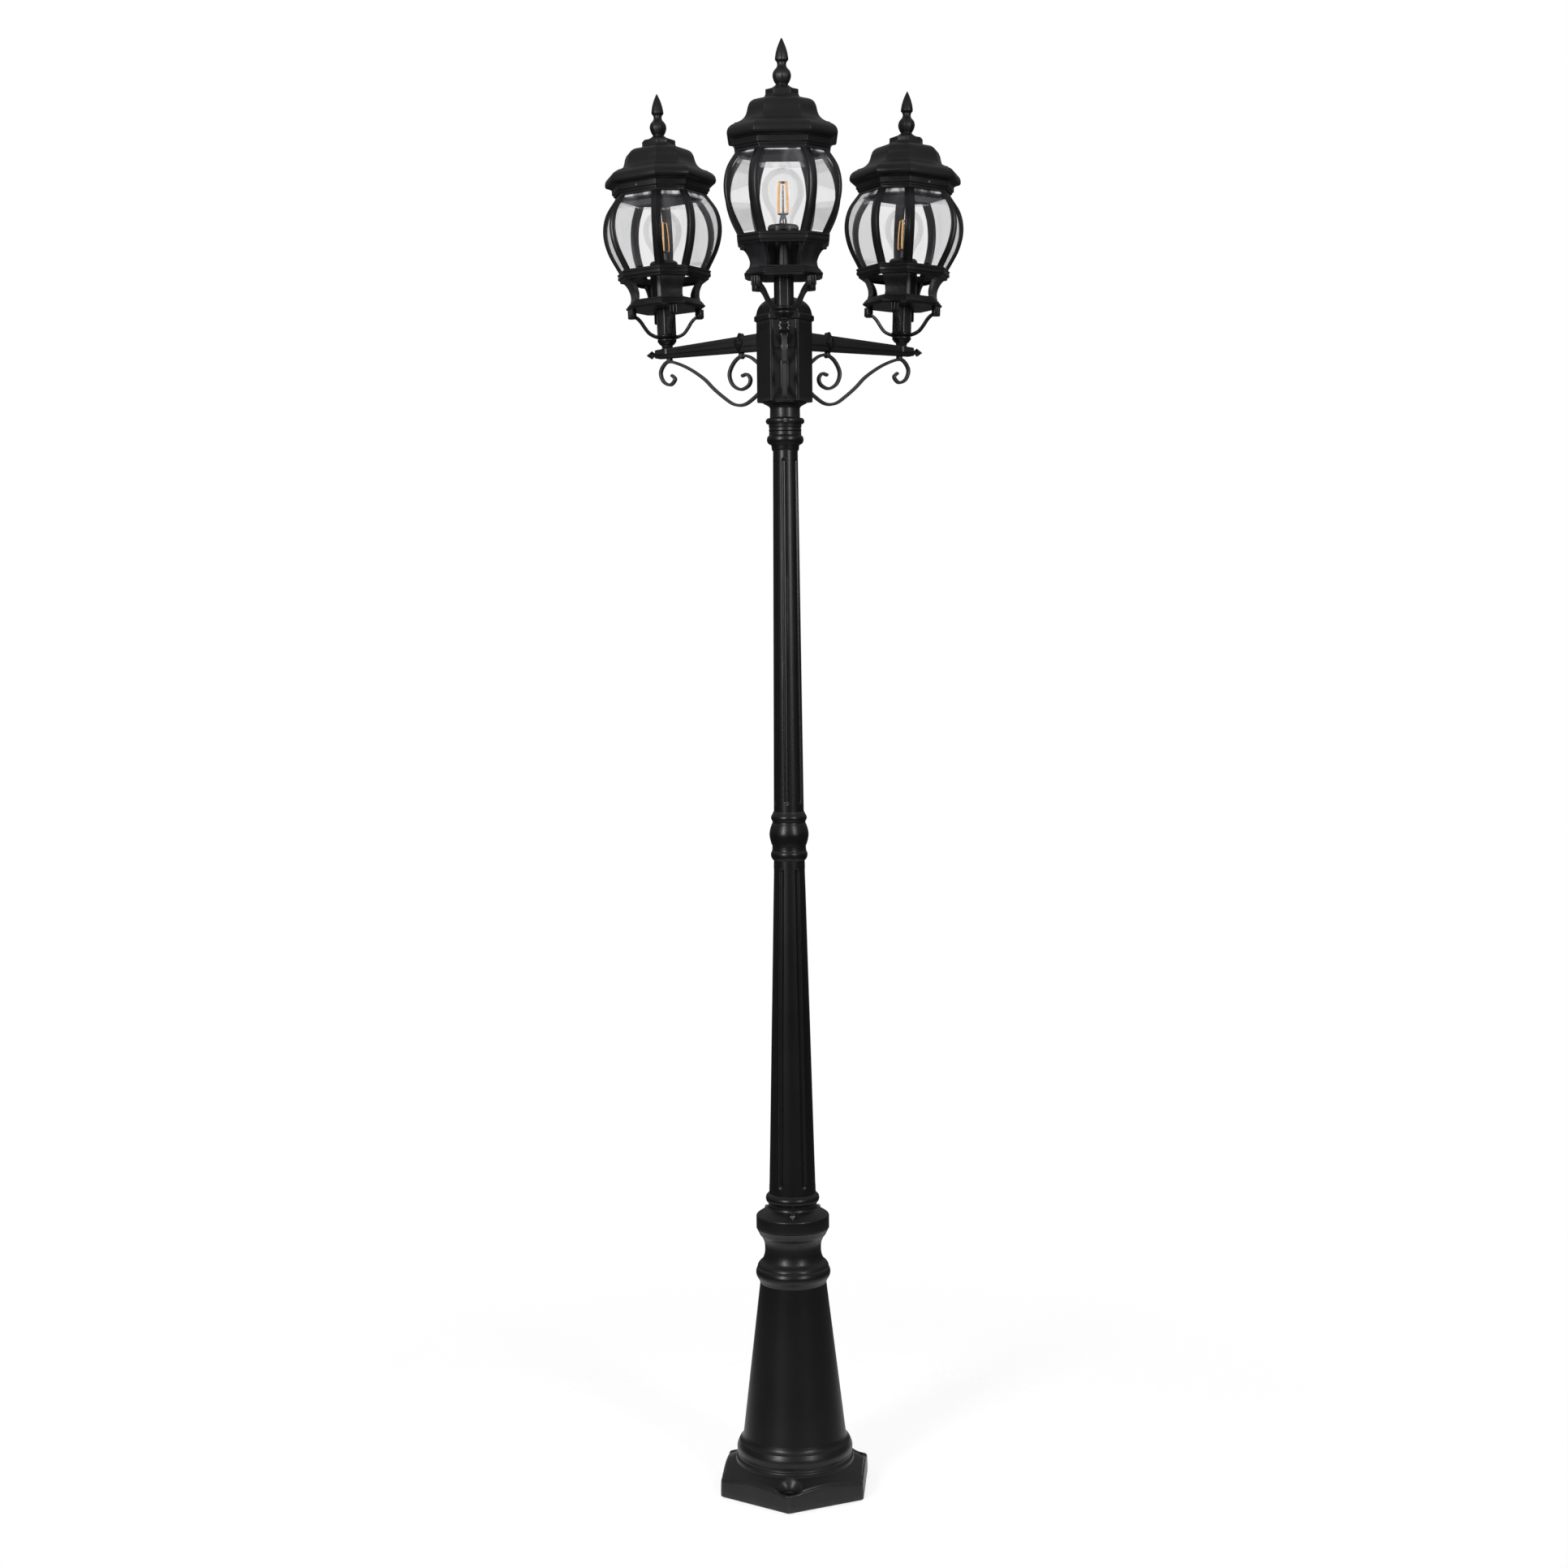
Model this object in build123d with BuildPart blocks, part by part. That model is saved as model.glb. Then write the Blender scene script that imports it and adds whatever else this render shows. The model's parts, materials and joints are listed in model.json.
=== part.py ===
"""Three-lantern garden street lamp post, 2.15 m tall, in cast aluminium with clear glass.

Millimetres. The origin is the centre of the base on the ground, +Z is up, and the front
arm points along -Y. Lantern pieces are drawn in the lantern's own frame (origin where its
cup meets the arm, +X outward) and arm pieces in the arm's own frame (origin on the ground,
+X outward), then each piece is placed three times.
"""

import os
from math import cos, radians, sin

from build123d import *

os.makedirs("parts", exist_ok=True)

# ---------------------------------------------------------------- driving dimensions
ARM_TURNS = {"front": -90, "left": 150, "right": 30}  # direction of each arm in degrees

# Base casting
PLATE_R = 127.0          # centre to corner of the hexagonal plate
PLATE_T = 27.0           # height of the plate's side
PLATE_TURN = -94.8       # direction of the corner that stands nearest the front
PLATE_EDGE = 3.0         # round on the plate's edges
BOLT_CIRCLE_R = 112.0    # three bolt holes at alternate corners
BOLT_HOLE_R = 5.5
BOLT_PAD_R = 11.0
FOOT_R = 92.0            # round foot above the plate
FOOT_COVE = 13.0         # hollow round between foot and plate
BASE_WALL = 5.0
BASE_BEAD_R, BASE_BEAD_Z = 89.5, 63.0
COLUMN_R_LOW, COLUMN_R_TOP = 79.4, 51.2
COLUMN_Z, COLUMN_H = 83.0, 240.0
JOINT_Z = 407.0          # parting face between base casting and shaft foot
JOINT_R = 56.3
JOINT_SCREW_R = 45.0     # pitch radius of the joint's three cap screws
JOINT_SCREW_D = 5.0
WAIST_R = 43.5

# Shafts
FOOT_BEAD_R, FOOT_BEAD_Z = 41.0, 453.0
LOWER_Z, LOWER_H = 461.0, 516.0
LOWER_R_LOW, LOWER_R_TOP = 36.0, 23.7
LOWER_CLOCK = -60.0      # direction of the first flute
COUPLING_H = 75.0
COUPLING_BALL_R = 30.0
UPPER_H = 546.0
UPPER_R_LOW, UPPER_R_TOP = 22.9, 18.8
UPPER_CLOCK = -99.0
SHAFT_WALL = 4.0
FLUTES = 6
FLUTE_R, FLUTE_DEPTH = 4.6, 2.2
FLUTE_END = 11.0         # plain length at each end of a shaft
SPIGOT_LENGTH = 26.0
SPIGOT_CLEAR = 0.05
WIRE_BORE_R = 6.0

# Ferrule, swivel and hub
FERRULE_H = 29.0
FERRULE_RING_R = 26.3
SWIVEL_H = 43.5
SWIVEL_PIN_R, SWIVEL_PIN_H = 14.0, 34.0
SWIVEL_RING_R = 28.4
RUNNING_CLEAR = 0.05
SET_SCREW_R = 3.0
HUB_R, HUB_H = 42.0, 120.0
HUB_WALL = 4.0
HUB_STRIP = 3.6          # raised strip beside each arm face
HUB_RECESS = 1.6
HUB_RIM_R, HUB_RIM_H = 45.6, 9.5
HUB_DOME_R, HUB_DOME_H = 43.0, 29.0

# Arms
ARM_REACH = 209.7        # post axis to lantern axis, at the arm
ARM_END = 230.0
ARM_W = 15.0
ARM_H_ROOT, ARM_H_END = 26.5, 13.0
ARM_Z = 1750.3           # underside
ARM_TIP = 18.0           # pointed end beyond the arm
ROOT_W, ROOT_T = 32.0, 5.0
ARM_BOLT_R = 2.0
ARM_WIRE_R = 2.5         # wire way from the hub along the arm
LEAF_AT, LEAF_W, LEAF_HALF = 76.0, 27.0, 8.5
LEAF_H = 31.0
SCROLL_T, SCROLL_W = 3.0, 8.0
LEAN = 2.0               # outward lean of each lantern, degrees

# Lantern, heights above the cup's seat on the arm
CORNER = 27.0            # half angle of a wide side; narrow sides span the rest
CUP_R, CUP_H = 14.4, 14.5
STEM_R = 15.5
STRUT_T, STRUT_W = 3.6, 9.0
LUG_IN, LUG_OUT, LUG_W = 46.0, 59.0, 14.5
LUG_Z, GALLERY_Z = 44.5, 57.5
PLATE_TOP = 77.0
GALLERY_PLATE_R, GALLERY_WAIST_R, RING_R = 62.0, 53.0, 73.0
RING_Z, CAGE_Z = 105.5, 121.0
GALLERY_WALL = 4.0
GALLERY_WINDOW = 22.0    # half width of each gallery window
CAGE_BULGE_R, CAGE_TOP_R = 92.5, 71.5
CAGE_TOP = 236.0
RIB_T, RIB_HALF = 3.0, 8.6
GLASS_T = 2.0
GLASS_CLEAR = 0.2
HOLDER_R, HOLDER_TOP = 22.0, 131.0
BULB_R, BULB_TOP = 30.0, 210.0
BULB_CAP_R, BULB_CAP_H = 13.2, 24.0
EAVE_R, EAVE_Z = 86.5, 254.0
FASCIA_R = 73.8
ROOF_TOP = 303.0
ROOF_WALL = 3.0
ROOF_LAP = 3.5           # how far the fascia hangs over the cage
CAP_FOOT_R, CAP_R, CAP_TOP = 29.5, 26.0, 316.0
FINIAL_BALL_R, FINIAL_TIP = 13.3, 388.0

BIG = 400.0

# ---------------------------------------------------------------- heights that follow
LOWER_TOP = LOWER_Z + LOWER_H
UPPER_Z = LOWER_TOP + COUPLING_H
UPPER_TOP = UPPER_Z + UPPER_H
SWIVEL_Z = UPPER_TOP + FERRULE_H
HUB_Z = SWIVEL_Z + SWIVEL_H
HUB_TOP = HUB_Z + HUB_H
HUB_FLAT = HUB_R * cos(radians(30))
HUB_INNER_R = HUB_R - HUB_WALL / cos(radians(30))
SEAT_Z = ARM_Z + ARM_H_END + 3.7
NARROW = 45.0 - CORNER
OCTAGON_SIDES = [(0, cos(radians(CORNER))), (90, cos(radians(CORNER))),
                 (45, cos(radians(NARROW))), (135, cos(radians(NARROW)))]
HEXAGON_SIDES = [(turn, cos(radians(30))) for turn in (30, 90, 150)]


# ---------------------------------------------------------------- shared ways of working
def upright(turn):
    """Vertical plane through the axis whose x points along turn."""
    return Plane((0, 0, 0), x_dir=(cos(radians(turn)), sin(radians(turn)), 0),
                 z_dir=(sin(radians(turn)), -cos(radians(turn)), 0))


def half_outline(runs, reach=1.0):
    """Closed outline of (radius, height) runs: two points are straight, more are smooth."""
    for run in runs:
        points = [(radius * reach, height) for radius, height in run]
        if len(points) == 2:
            Line(*points)
        else:
            Spline(*points)
    low, high = runs[0][0][1], runs[-1][-1][1]
    Polyline((runs[-1][-1][0] * reach, high), (0, high), (0, low), (runs[0][0][0] * reach, low))


def turned(runs, mode=Mode.ADD):
    """Add or cut a round body with this outline from bottom to top."""
    with BuildSketch(Plane.XZ) as profile:
        with BuildLine():
            half_outline(runs)
        make_face()
    revolve(profile.sketch, axis=Axis.Z, mode=mode)


def faceted(runs, sides):
    """A body with flat-sided plan: crossed prisms, one for each pair of opposite sides."""
    with BuildPart() as crossed:
        for number, (turn, reach) in enumerate(sides):
            with BuildSketch(upright(turn)):
                with BuildLine():
                    half_outline(runs, reach)
                make_face()
                mirror(about=Plane.YZ)
            extrude(amount=BIG, both=True, mode=Mode.INTERSECT if number else Mode.ADD)
    return crossed.part


def straight(*points):
    """Runs that join these points with straight lines."""
    return [[a, b] for a, b in zip(points, points[1:])]


def inward(runs, wall):
    """The same outline, nearer the axis by wall."""
    return [[(radius - wall, height) for radius, height in run] for run in runs]


def bar(plane, points, thickness, width):
    """A flat bar bent along a smooth line in plane, centred on it."""
    with BuildSketch(plane) as band:
        with BuildLine():
            Spline(*points)
        trace(line_width=thickness)
    extrude(band.sketch, amount=width / 2, both=True)


def write(shape, name):
    """Label one finished piece and write its STEP file."""
    shape.label = name
    export_step(shape, f"parts/{name}.step")


def arm_plane(turn):
    """Arm frame: origin on the ground at the post, x outward along the arm."""
    return Plane((0, 0, 0), x_dir=(cos(radians(turn)), sin(radians(turn)), 0), z_dir=(0, 0, 1))


def lantern_plane(turn):
    """Lantern frame: origin where the cup sits on the arm, leaning outward."""
    out = Vector(cos(radians(turn)), sin(radians(turn)), 0)
    axis = out * sin(radians(LEAN)) + Vector(0, 0, cos(radians(LEAN)))
    along = out * cos(radians(LEAN)) - Vector(0, 0, sin(radians(LEAN)))
    return Plane(out * ARM_REACH + Vector(0, 0, SEAT_Z), x_dir=along, z_dir=axis)


def place_on_arms(part, piece):
    """Write the piece once for each arm."""
    for side, turn in ARM_TURNS.items():
        write(part.moved(arm_plane(turn).location), f"{side}_{piece}")


def place_in_lanterns(part, piece):
    """Write the piece once for each lantern."""
    for side, turn in ARM_TURNS.items():
        write(part.moved(lantern_plane(turn).location), f"{side}_{piece}")


# ---------------------------------------------------------------- base casting
COLUMN_TOP = COLUMN_Z + COLUMN_H
NECK_Z = BASE_BEAD_Z + 11.0
BEAD_R, BEAD_Z = COLUMN_R_TOP + 5.9, COLUMN_TOP + 15.0

foot_runs = [
    [(FOOT_R + FOOT_COVE, PLATE_T), (FOOT_R + 4, PLATE_T + 4), (FOOT_R, PLATE_T + FOOT_COVE)],
    [(FOOT_R, PLATE_T + FOOT_COVE), (BASE_BEAD_R - 1.5, BASE_BEAD_Z - 13)],
    [(BASE_BEAD_R - 1.5, BASE_BEAD_Z - 13), (BASE_BEAD_R, BASE_BEAD_Z - 4),
     (BASE_BEAD_R - 0.6, BASE_BEAD_Z + 3), (BASE_BEAD_R - 4, NECK_Z)],
    [(BASE_BEAD_R - 4, NECK_Z), (COLUMN_R_LOW + 2, COLUMN_Z - 5), (COLUMN_R_LOW, COLUMN_Z)],
    [(COLUMN_R_LOW, COLUMN_Z), (COLUMN_R_TOP, COLUMN_TOP)],
    [(COLUMN_R_TOP, COLUMN_TOP), (BEAD_R - 2.6, BEAD_Z - 8), (BEAD_R, BEAD_Z),
     (BEAD_R - 2.2, BEAD_Z + 7)],
    [(BEAD_R - 2.2, BEAD_Z + 7), (BEAD_R - 4.4, BEAD_Z + 8)],
    [(BEAD_R - 4.4, BEAD_Z + 8), (WAIST_R + 3.4, BEAD_Z + 17), (WAIST_R, BEAD_Z + 35),
     (WAIST_R + 2.6, BEAD_Z + 49), (JOINT_R - 5.6, JOINT_Z - 11)],
    [(JOINT_R - 5.6, JOINT_Z - 11), (JOINT_R - 3.4, JOINT_Z - 7)],
    [(JOINT_R - 3.4, JOINT_Z - 7), (JOINT_R, JOINT_Z)],
]
base_bore = straight(
    (FOOT_R - BASE_WALL, 0), (FOOT_R - BASE_WALL, PLATE_T), (COLUMN_R_LOW - BASE_WALL, COLUMN_Z),
    (COLUMN_R_TOP - BASE_WALL, COLUMN_TOP), (WAIST_R - BASE_WALL, COLUMN_TOP + 30),
    (WAIST_R - BASE_WALL, JOINT_Z - 16), (30, JOINT_Z - 12), (30, JOINT_Z))

with BuildPart() as base_casting:
    with BuildSketch():
        RegularPolygon(PLATE_R, 6, rotation=PLATE_TURN)
        fillet(vertices(), radius=PLATE_EDGE * 2)
    extrude(amount=PLATE_T)
    fillet(faces().sort_by(Axis.Z)[-1].edges(), radius=PLATE_EDGE)
    turned(foot_runs)
    with Locations(Plane((0, 0, PLATE_T))):
        with PolarLocations(BOLT_CIRCLE_R, 3, start_angle=PLATE_TURN):
            Cylinder(BOLT_PAD_R, BIG, align=(Align.CENTER, Align.CENTER, Align.MIN),
                     mode=Mode.SUBTRACT)
            Cylinder(BOLT_HOLE_R, BIG, mode=Mode.SUBTRACT)
    turned(base_bore, mode=Mode.SUBTRACT)
    with Locations((0, 0, JOINT_Z)):
        with PolarLocations(JOINT_SCREW_R, 3, start_angle=-90):
            Cylinder(JOINT_SCREW_D / 2 + SPIGOT_CLEAR, 12,
                     align=(Align.CENTER, Align.CENTER, Align.MAX), mode=Mode.SUBTRACT)
write(base_casting.part, "base_casting")

# Cable gland that seals the supply cable's way up, in the base's top wall
with BuildPart() as cable_gland:
    turned(straight((14, JOINT_Z - 12), (14, JOINT_Z - 6), (30 - SPIGOT_CLEAR, JOINT_Z - 6),
                    (30 - SPIGOT_CLEAR, JOINT_Z)))
    with BuildSketch(Plane.XY.offset(JOINT_Z - 26)):
        RegularPolygon(15, 6)
    extrude(amount=14)
    turned(straight((WIRE_BORE_R, JOINT_Z - 27), (WIRE_BORE_R, JOINT_Z + 1)), mode=Mode.SUBTRACT)
write(cable_gland.part, "cable_gland")

# ---------------------------------------------------------------- shaft foot and its screws
WALL_TOP = JOINT_Z + 19.5
SCREW_SEAT = JOINT_Z + 19.0
SCREW_HEAD_R, SCREW_HEAD_H = JOINT_SCREW_D * 0.85, JOINT_SCREW_D

shaft_foot_runs = [
    [(JOINT_R, JOINT_Z), (JOINT_R, WALL_TOP)],
    [(JOINT_R, WALL_TOP), (FOOT_BEAD_R, WALL_TOP + 9.5)],
    [(FOOT_BEAD_R, WALL_TOP + 9.5), (FOOT_BEAD_R - 3.4, WALL_TOP + 12),
     (FOOT_BEAD_R - 3, FOOT_BEAD_Z - 8)],
    [(FOOT_BEAD_R - 3, FOOT_BEAD_Z - 8), (FOOT_BEAD_R, FOOT_BEAD_Z), (FOOT_BEAD_R - 3, LOWER_Z)],
]
with BuildPart() as shaft_foot:
    turned(shaft_foot_runs)
    spigot_r = LOWER_R_LOW - SHAFT_WALL - 1 - SPIGOT_CLEAR
    turned(straight((spigot_r, LOWER_Z - 1), (spigot_r, LOWER_Z + SPIGOT_LENGTH)))
    turned(straight((spigot_r - SHAFT_WALL, JOINT_Z), (spigot_r - SHAFT_WALL, LOWER_Z + BIG)),
           mode=Mode.SUBTRACT)
    with Locations((0, 0, SCREW_SEAT)):
        with PolarLocations(JOINT_SCREW_R, 3, start_angle=-90):
            Cylinder(SCREW_HEAD_R + 1.6, BIG, align=(Align.CENTER, Align.CENTER, Align.MIN),
                     mode=Mode.SUBTRACT)
            Cylinder(JOINT_SCREW_D / 2 + SPIGOT_CLEAR, BIG, mode=Mode.SUBTRACT)
write(shaft_foot.part, "shaft_foot")

with BuildPart() as joint_screws:
    with Locations((0, 0, SCREW_SEAT)):
        with PolarLocations(JOINT_SCREW_R, 3, start_angle=-90):
            Cylinder(SCREW_HEAD_R, SCREW_HEAD_H, align=(Align.CENTER, Align.CENTER, Align.MIN))
            Cylinder(JOINT_SCREW_D / 2, SCREW_SEAT - JOINT_Z + 11,
                     align=(Align.CENTER, Align.CENTER, Align.MAX))
    with Locations((0, 0, SCREW_SEAT + SCREW_HEAD_H)):
        with PolarLocations(JOINT_SCREW_R, 3, start_angle=-90):
            Cylinder(JOINT_SCREW_D * 0.4, JOINT_SCREW_D * 0.5,
                     align=(Align.CENTER, Align.CENTER, Align.MAX), mode=Mode.SUBTRACT)
write(joint_screws.part, "joint_screws")


# ---------------------------------------------------------------- fluted shafts
def fluted_shaft(bottom, height, r_low, r_top, clock):
    """Tapered tube with round-ended flutes and a straight bore at each end for a spigot."""
    slope = (r_top - r_low) / height
    out = FLUTE_R - FLUTE_DEPTH
    low_end = Vector(r_low + slope * FLUTE_END + out, 0, bottom + FLUTE_END + FLUTE_R)
    top_end = Vector(r_top - slope * FLUTE_END + out, 0, bottom + height - FLUTE_END - FLUTE_R)
    with BuildPart() as cutter:
        with Locations(low_end, top_end):
            Sphere(FLUTE_R)
        with BuildSketch(Plane(low_end, z_dir=top_end - low_end)):
            Circle(FLUTE_R)
        extrude(amount=(top_end - low_end).length)
    with BuildPart() as shaft:
        turned([[(r_low, bottom), (r_top, bottom + height)]])
        with PolarLocations(0, FLUTES, start_angle=clock):
            add(cutter.part, mode=Mode.SUBTRACT)
        turned(straight((r_low - SHAFT_WALL - 1, bottom),
                        (r_low - SHAFT_WALL - 1, bottom + SPIGOT_LENGTH + 1),
                        (r_low - SHAFT_WALL - 2.5, bottom + SPIGOT_LENGTH + 8),
                        (r_top - SHAFT_WALL, bottom + height - SPIGOT_LENGTH - 1),
                        (r_top - SHAFT_WALL, bottom + height)), mode=Mode.SUBTRACT)
    return shaft.part


write(fluted_shaft(LOWER_Z, LOWER_H, LOWER_R_LOW, LOWER_R_TOP, LOWER_CLOCK), "lower_shaft")
write(fluted_shaft(UPPER_Z, UPPER_H, UPPER_R_LOW, UPPER_R_TOP, UPPER_CLOCK), "upper_shaft")

# ---------------------------------------------------------------- ball coupling
BALL_Z = LOWER_TOP + COUPLING_H * 0.53
coupling_runs = [
    [(LOWER_R_TOP + 0.6, LOWER_TOP), (LOWER_R_TOP + 3.4, LOWER_TOP + 5),
     (LOWER_R_TOP + 4.2, LOWER_TOP + 10.5), (LOWER_R_TOP + 2.4, LOWER_TOP + 15.5)],
    [(LOWER_R_TOP + 2.4, LOWER_TOP + 15.5), (LOWER_R_TOP + 2.1, BALL_Z - 17)],
    [(LOWER_R_TOP + 2.1, BALL_Z - 17), (COUPLING_BALL_R - 1.2, BALL_Z - 8),
     (COUPLING_BALL_R, BALL_Z), (COUPLING_BALL_R - 1.2, BALL_Z + 8), (UPPER_R_LOW + 2.9, BALL_Z + 17)],
    [(UPPER_R_LOW + 2.9, BALL_Z + 17), (UPPER_R_LOW + 2.9, BALL_Z + 20)],
    [(UPPER_R_LOW + 2.9, BALL_Z + 20), (UPPER_R_LOW + 4.7, UPPER_Z - 9.5),
     (UPPER_R_LOW + 3.1, UPPER_Z - 4.5), (UPPER_R_LOW + 0.6, UPPER_Z)],
]
low_pin = LOWER_R_TOP - SHAFT_WALL - SPIGOT_CLEAR
high_pin = UPPER_R_LOW - SHAFT_WALL - 1 - SPIGOT_CLEAR
with BuildPart() as mid_coupling:
    turned(coupling_runs)
    turned(straight((low_pin, LOWER_TOP - SPIGOT_LENGTH), (low_pin, LOWER_TOP + 5)))
    turned(straight((high_pin, UPPER_Z - 5), (high_pin, UPPER_Z + SPIGOT_LENGTH)))
    turned(straight((WIRE_BORE_R, LOWER_TOP - BIG), (WIRE_BORE_R, UPPER_Z + BIG)), mode=Mode.SUBTRACT)
write(mid_coupling.part, "mid_coupling")

# ---------------------------------------------------------------- ferrule with swivel pin
ferrule_runs = [
    [(UPPER_R_TOP + 1.4, UPPER_TOP), (UPPER_R_TOP + 2.2, UPPER_TOP + 5)],
    [(UPPER_R_TOP + 2.2, UPPER_TOP + 5), (FERRULE_RING_R - 2.6, UPPER_TOP + 12)],
    [(FERRULE_RING_R - 2.6, UPPER_TOP + 12), (FERRULE_RING_R, UPPER_TOP + 18),
     (FERRULE_RING_R - 2.8, UPPER_TOP + 24)],
    [(FERRULE_RING_R - 2.8, UPPER_TOP + 24), (UPPER_R_TOP + 2.9, UPPER_TOP + FERRULE_H)],
]
ferrule_pin = UPPER_R_TOP - SHAFT_WALL - SPIGOT_CLEAR
with BuildPart() as shaft_ferrule:
    turned(ferrule_runs)
    turned(straight((ferrule_pin, UPPER_TOP - SPIGOT_LENGTH), (ferrule_pin, UPPER_TOP + 5)))
    turned(straight((SWIVEL_PIN_R, SWIVEL_Z - 5), (SWIVEL_PIN_R, SWIVEL_Z + SWIVEL_PIN_H)))
    turned(straight((WIRE_BORE_R, UPPER_TOP - BIG), (WIRE_BORE_R, SWIVEL_Z + BIG)), mode=Mode.SUBTRACT)
write(shaft_ferrule.part, "shaft_ferrule")

# ---------------------------------------------------------------- head socket and set screw
SOCKET_BORE = SWIVEL_PIN_R + RUNNING_CLEAR
SET_SCREW_Z = SWIVEL_Z + 15.5
socket_runs = [
    [(UPPER_R_TOP + 3.6, SWIVEL_Z), (UPPER_R_TOP + 5.6, SWIVEL_Z + 6)],
    [(UPPER_R_TOP + 5.6, SWIVEL_Z + 6), (SWIVEL_RING_R - 2.4, SWIVEL_Z + 10)],
    [(SWIVEL_RING_R - 2.4, SWIVEL_Z + 10), (SWIVEL_RING_R, SET_SCREW_Z),
     (SWIVEL_RING_R - 2.4, SWIVEL_Z + 21)],
    [(SWIVEL_RING_R - 2.4, SWIVEL_Z + 21), (UPPER_R_TOP + 5.1, SWIVEL_Z + 24)],
    [(UPPER_R_TOP + 5.1, SWIVEL_Z + 24), (UPPER_R_TOP + 5.1, SWIVEL_Z + 31)],
    [(UPPER_R_TOP + 5.1, SWIVEL_Z + 31), (SWIVEL_RING_R - 0.9, HUB_Z - 4), (HUB_FLAT - 4, HUB_Z)],
]
with BuildPart() as head_socket:
    turned(socket_runs)
    turned(straight((SOCKET_BORE, SWIVEL_Z - 1), (SOCKET_BORE, HUB_Z + 1)), mode=Mode.SUBTRACT)
    with BuildSketch(Plane.XZ.offset(SOCKET_BORE - 2)):
        with Locations((0, SET_SCREW_Z)):
            Circle(SET_SCREW_R + SPIGOT_CLEAR)
    extrude(amount=BIG, mode=Mode.SUBTRACT)
write(head_socket.part, "head_socket")

with BuildPart() as head_set_screw:
    with BuildSketch(Plane.XZ.offset(SOCKET_BORE + 0.3)):
        with Locations((0, SET_SCREW_Z)):
            Circle(SET_SCREW_R)
    extrude(amount=SWIVEL_RING_R - SOCKET_BORE + 1.2)
    with BuildSketch(Plane.XZ.offset(SWIVEL_RING_R + 1.5)):
        with Locations((0, SET_SCREW_Z)):
            RegularPolygon(SET_SCREW_R * 0.55, 6)
    extrude(amount=-3, mode=Mode.SUBTRACT)
write(head_set_screw.part, "head_set_screw")

# ---------------------------------------------------------------- hub
ARM_MID = ARM_Z + ARM_H_ROOT / 2
BOLT_Z = (ARM_Z + 7, ARM_Z + ARM_H_ROOT - 7)
with BuildPart() as hub_body:
    with BuildSketch(Plane.XY.offset(HUB_Z)):
        RegularPolygon(HUB_R, 6)
        RegularPolygon(HUB_INNER_R, 6, mode=Mode.SUBTRACT)
    extrude(amount=HUB_H)
    with BuildSketch(Plane.XY.offset(HUB_Z)):
        RegularPolygon(HUB_INNER_R + 0.5, 6)
        Circle(SOCKET_BORE + 2, mode=Mode.SUBTRACT)
    extrude(amount=HUB_WALL)
    for turn in ARM_TURNS.values():
        across = Plane((0, 0, HUB_Z + 5), x_dir=(-sin(radians(turn)), cos(radians(turn)), 0),
                       z_dir=(cos(radians(turn)), sin(radians(turn)), 0))
        with BuildSketch(across.offset(HUB_FLAT)):
            with Locations((0, HUB_H / 2 - 2.5)):
                Rectangle(HUB_R - 2 * HUB_STRIP, HUB_H - 14)
        extrude(amount=-HUB_RECESS, mode=Mode.SUBTRACT)
        with BuildSketch(across.offset(HUB_FLAT)):
            for height in BOLT_Z:
                with Locations((0, height - HUB_Z - 5)):
                    Circle(ARM_BOLT_R + 0.5)
            with Locations((0, ARM_MID - HUB_Z - 5)):
                Circle(ARM_WIRE_R)
        extrude(amount=-10, mode=Mode.SUBTRACT)
write(hub_body.part, "hub_body")

cap_rim = straight((HUB_RIM_R, HUB_TOP), (HUB_RIM_R, HUB_TOP + HUB_RIM_H))
cap_dome = [[(HUB_DOME_R, HUB_TOP), (HUB_DOME_R, HUB_TOP + HUB_RIM_H)],
            [(HUB_DOME_R, HUB_TOP + HUB_RIM_H), (HUB_DOME_R - 4, HUB_TOP + HUB_RIM_H + 12),
             (HUB_DOME_R * 0.62, HUB_TOP + HUB_RIM_H + HUB_DOME_H * 0.72),
             (8, HUB_TOP + HUB_RIM_H + HUB_DOME_H - 0.7)],
            [(8, HUB_TOP + HUB_RIM_H + HUB_DOME_H - 0.7), (4, HUB_TOP + HUB_RIM_H + HUB_DOME_H)]]
cap_hollow = straight((HUB_INNER_R - 1, HUB_TOP + 3), (HUB_INNER_R - 1, HUB_TOP + HUB_RIM_H),
                      (HUB_DOME_R * 0.62 - 4, HUB_TOP + HUB_RIM_H + HUB_DOME_H * 0.6))
cap_lip = straight((HUB_INNER_R - SPIGOT_CLEAR, HUB_TOP - 6), (HUB_INNER_R - SPIGOT_CLEAR, HUB_TOP + 3))
with BuildPart() as hub_cap:
    add(faceted(cap_rim, HEXAGON_SIDES))
    add(faceted(cap_dome, HEXAGON_SIDES))
    add(faceted(cap_lip, HEXAGON_SIDES))
    add(faceted(straight((HUB_INNER_R - 3, HUB_TOP - 7), (HUB_INNER_R - 3, HUB_TOP + 4)),
                HEXAGON_SIDES), mode=Mode.SUBTRACT)
    add(faceted(cap_hollow, HEXAGON_SIDES), mode=Mode.SUBTRACT)
write(hub_cap.part, "hub_cap")

with BuildPart() as terminal_block:
    with Locations((0, 0, HUB_Z + HUB_WALL)):
        Box(30, 18, 22, align=(Align.CENTER, Align.CENTER, Align.MIN))
        Cylinder(WIRE_BORE_R, 60, mode=Mode.SUBTRACT)
    with BuildSketch(Plane.XY.offset(HUB_Z + HUB_WALL + 22)):
        with GridLocations(9, 10, 4, 2):
            Circle(1.6)
    extrude(amount=-6, mode=Mode.SUBTRACT)
write(terminal_block.part, "terminal_block")

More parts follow.
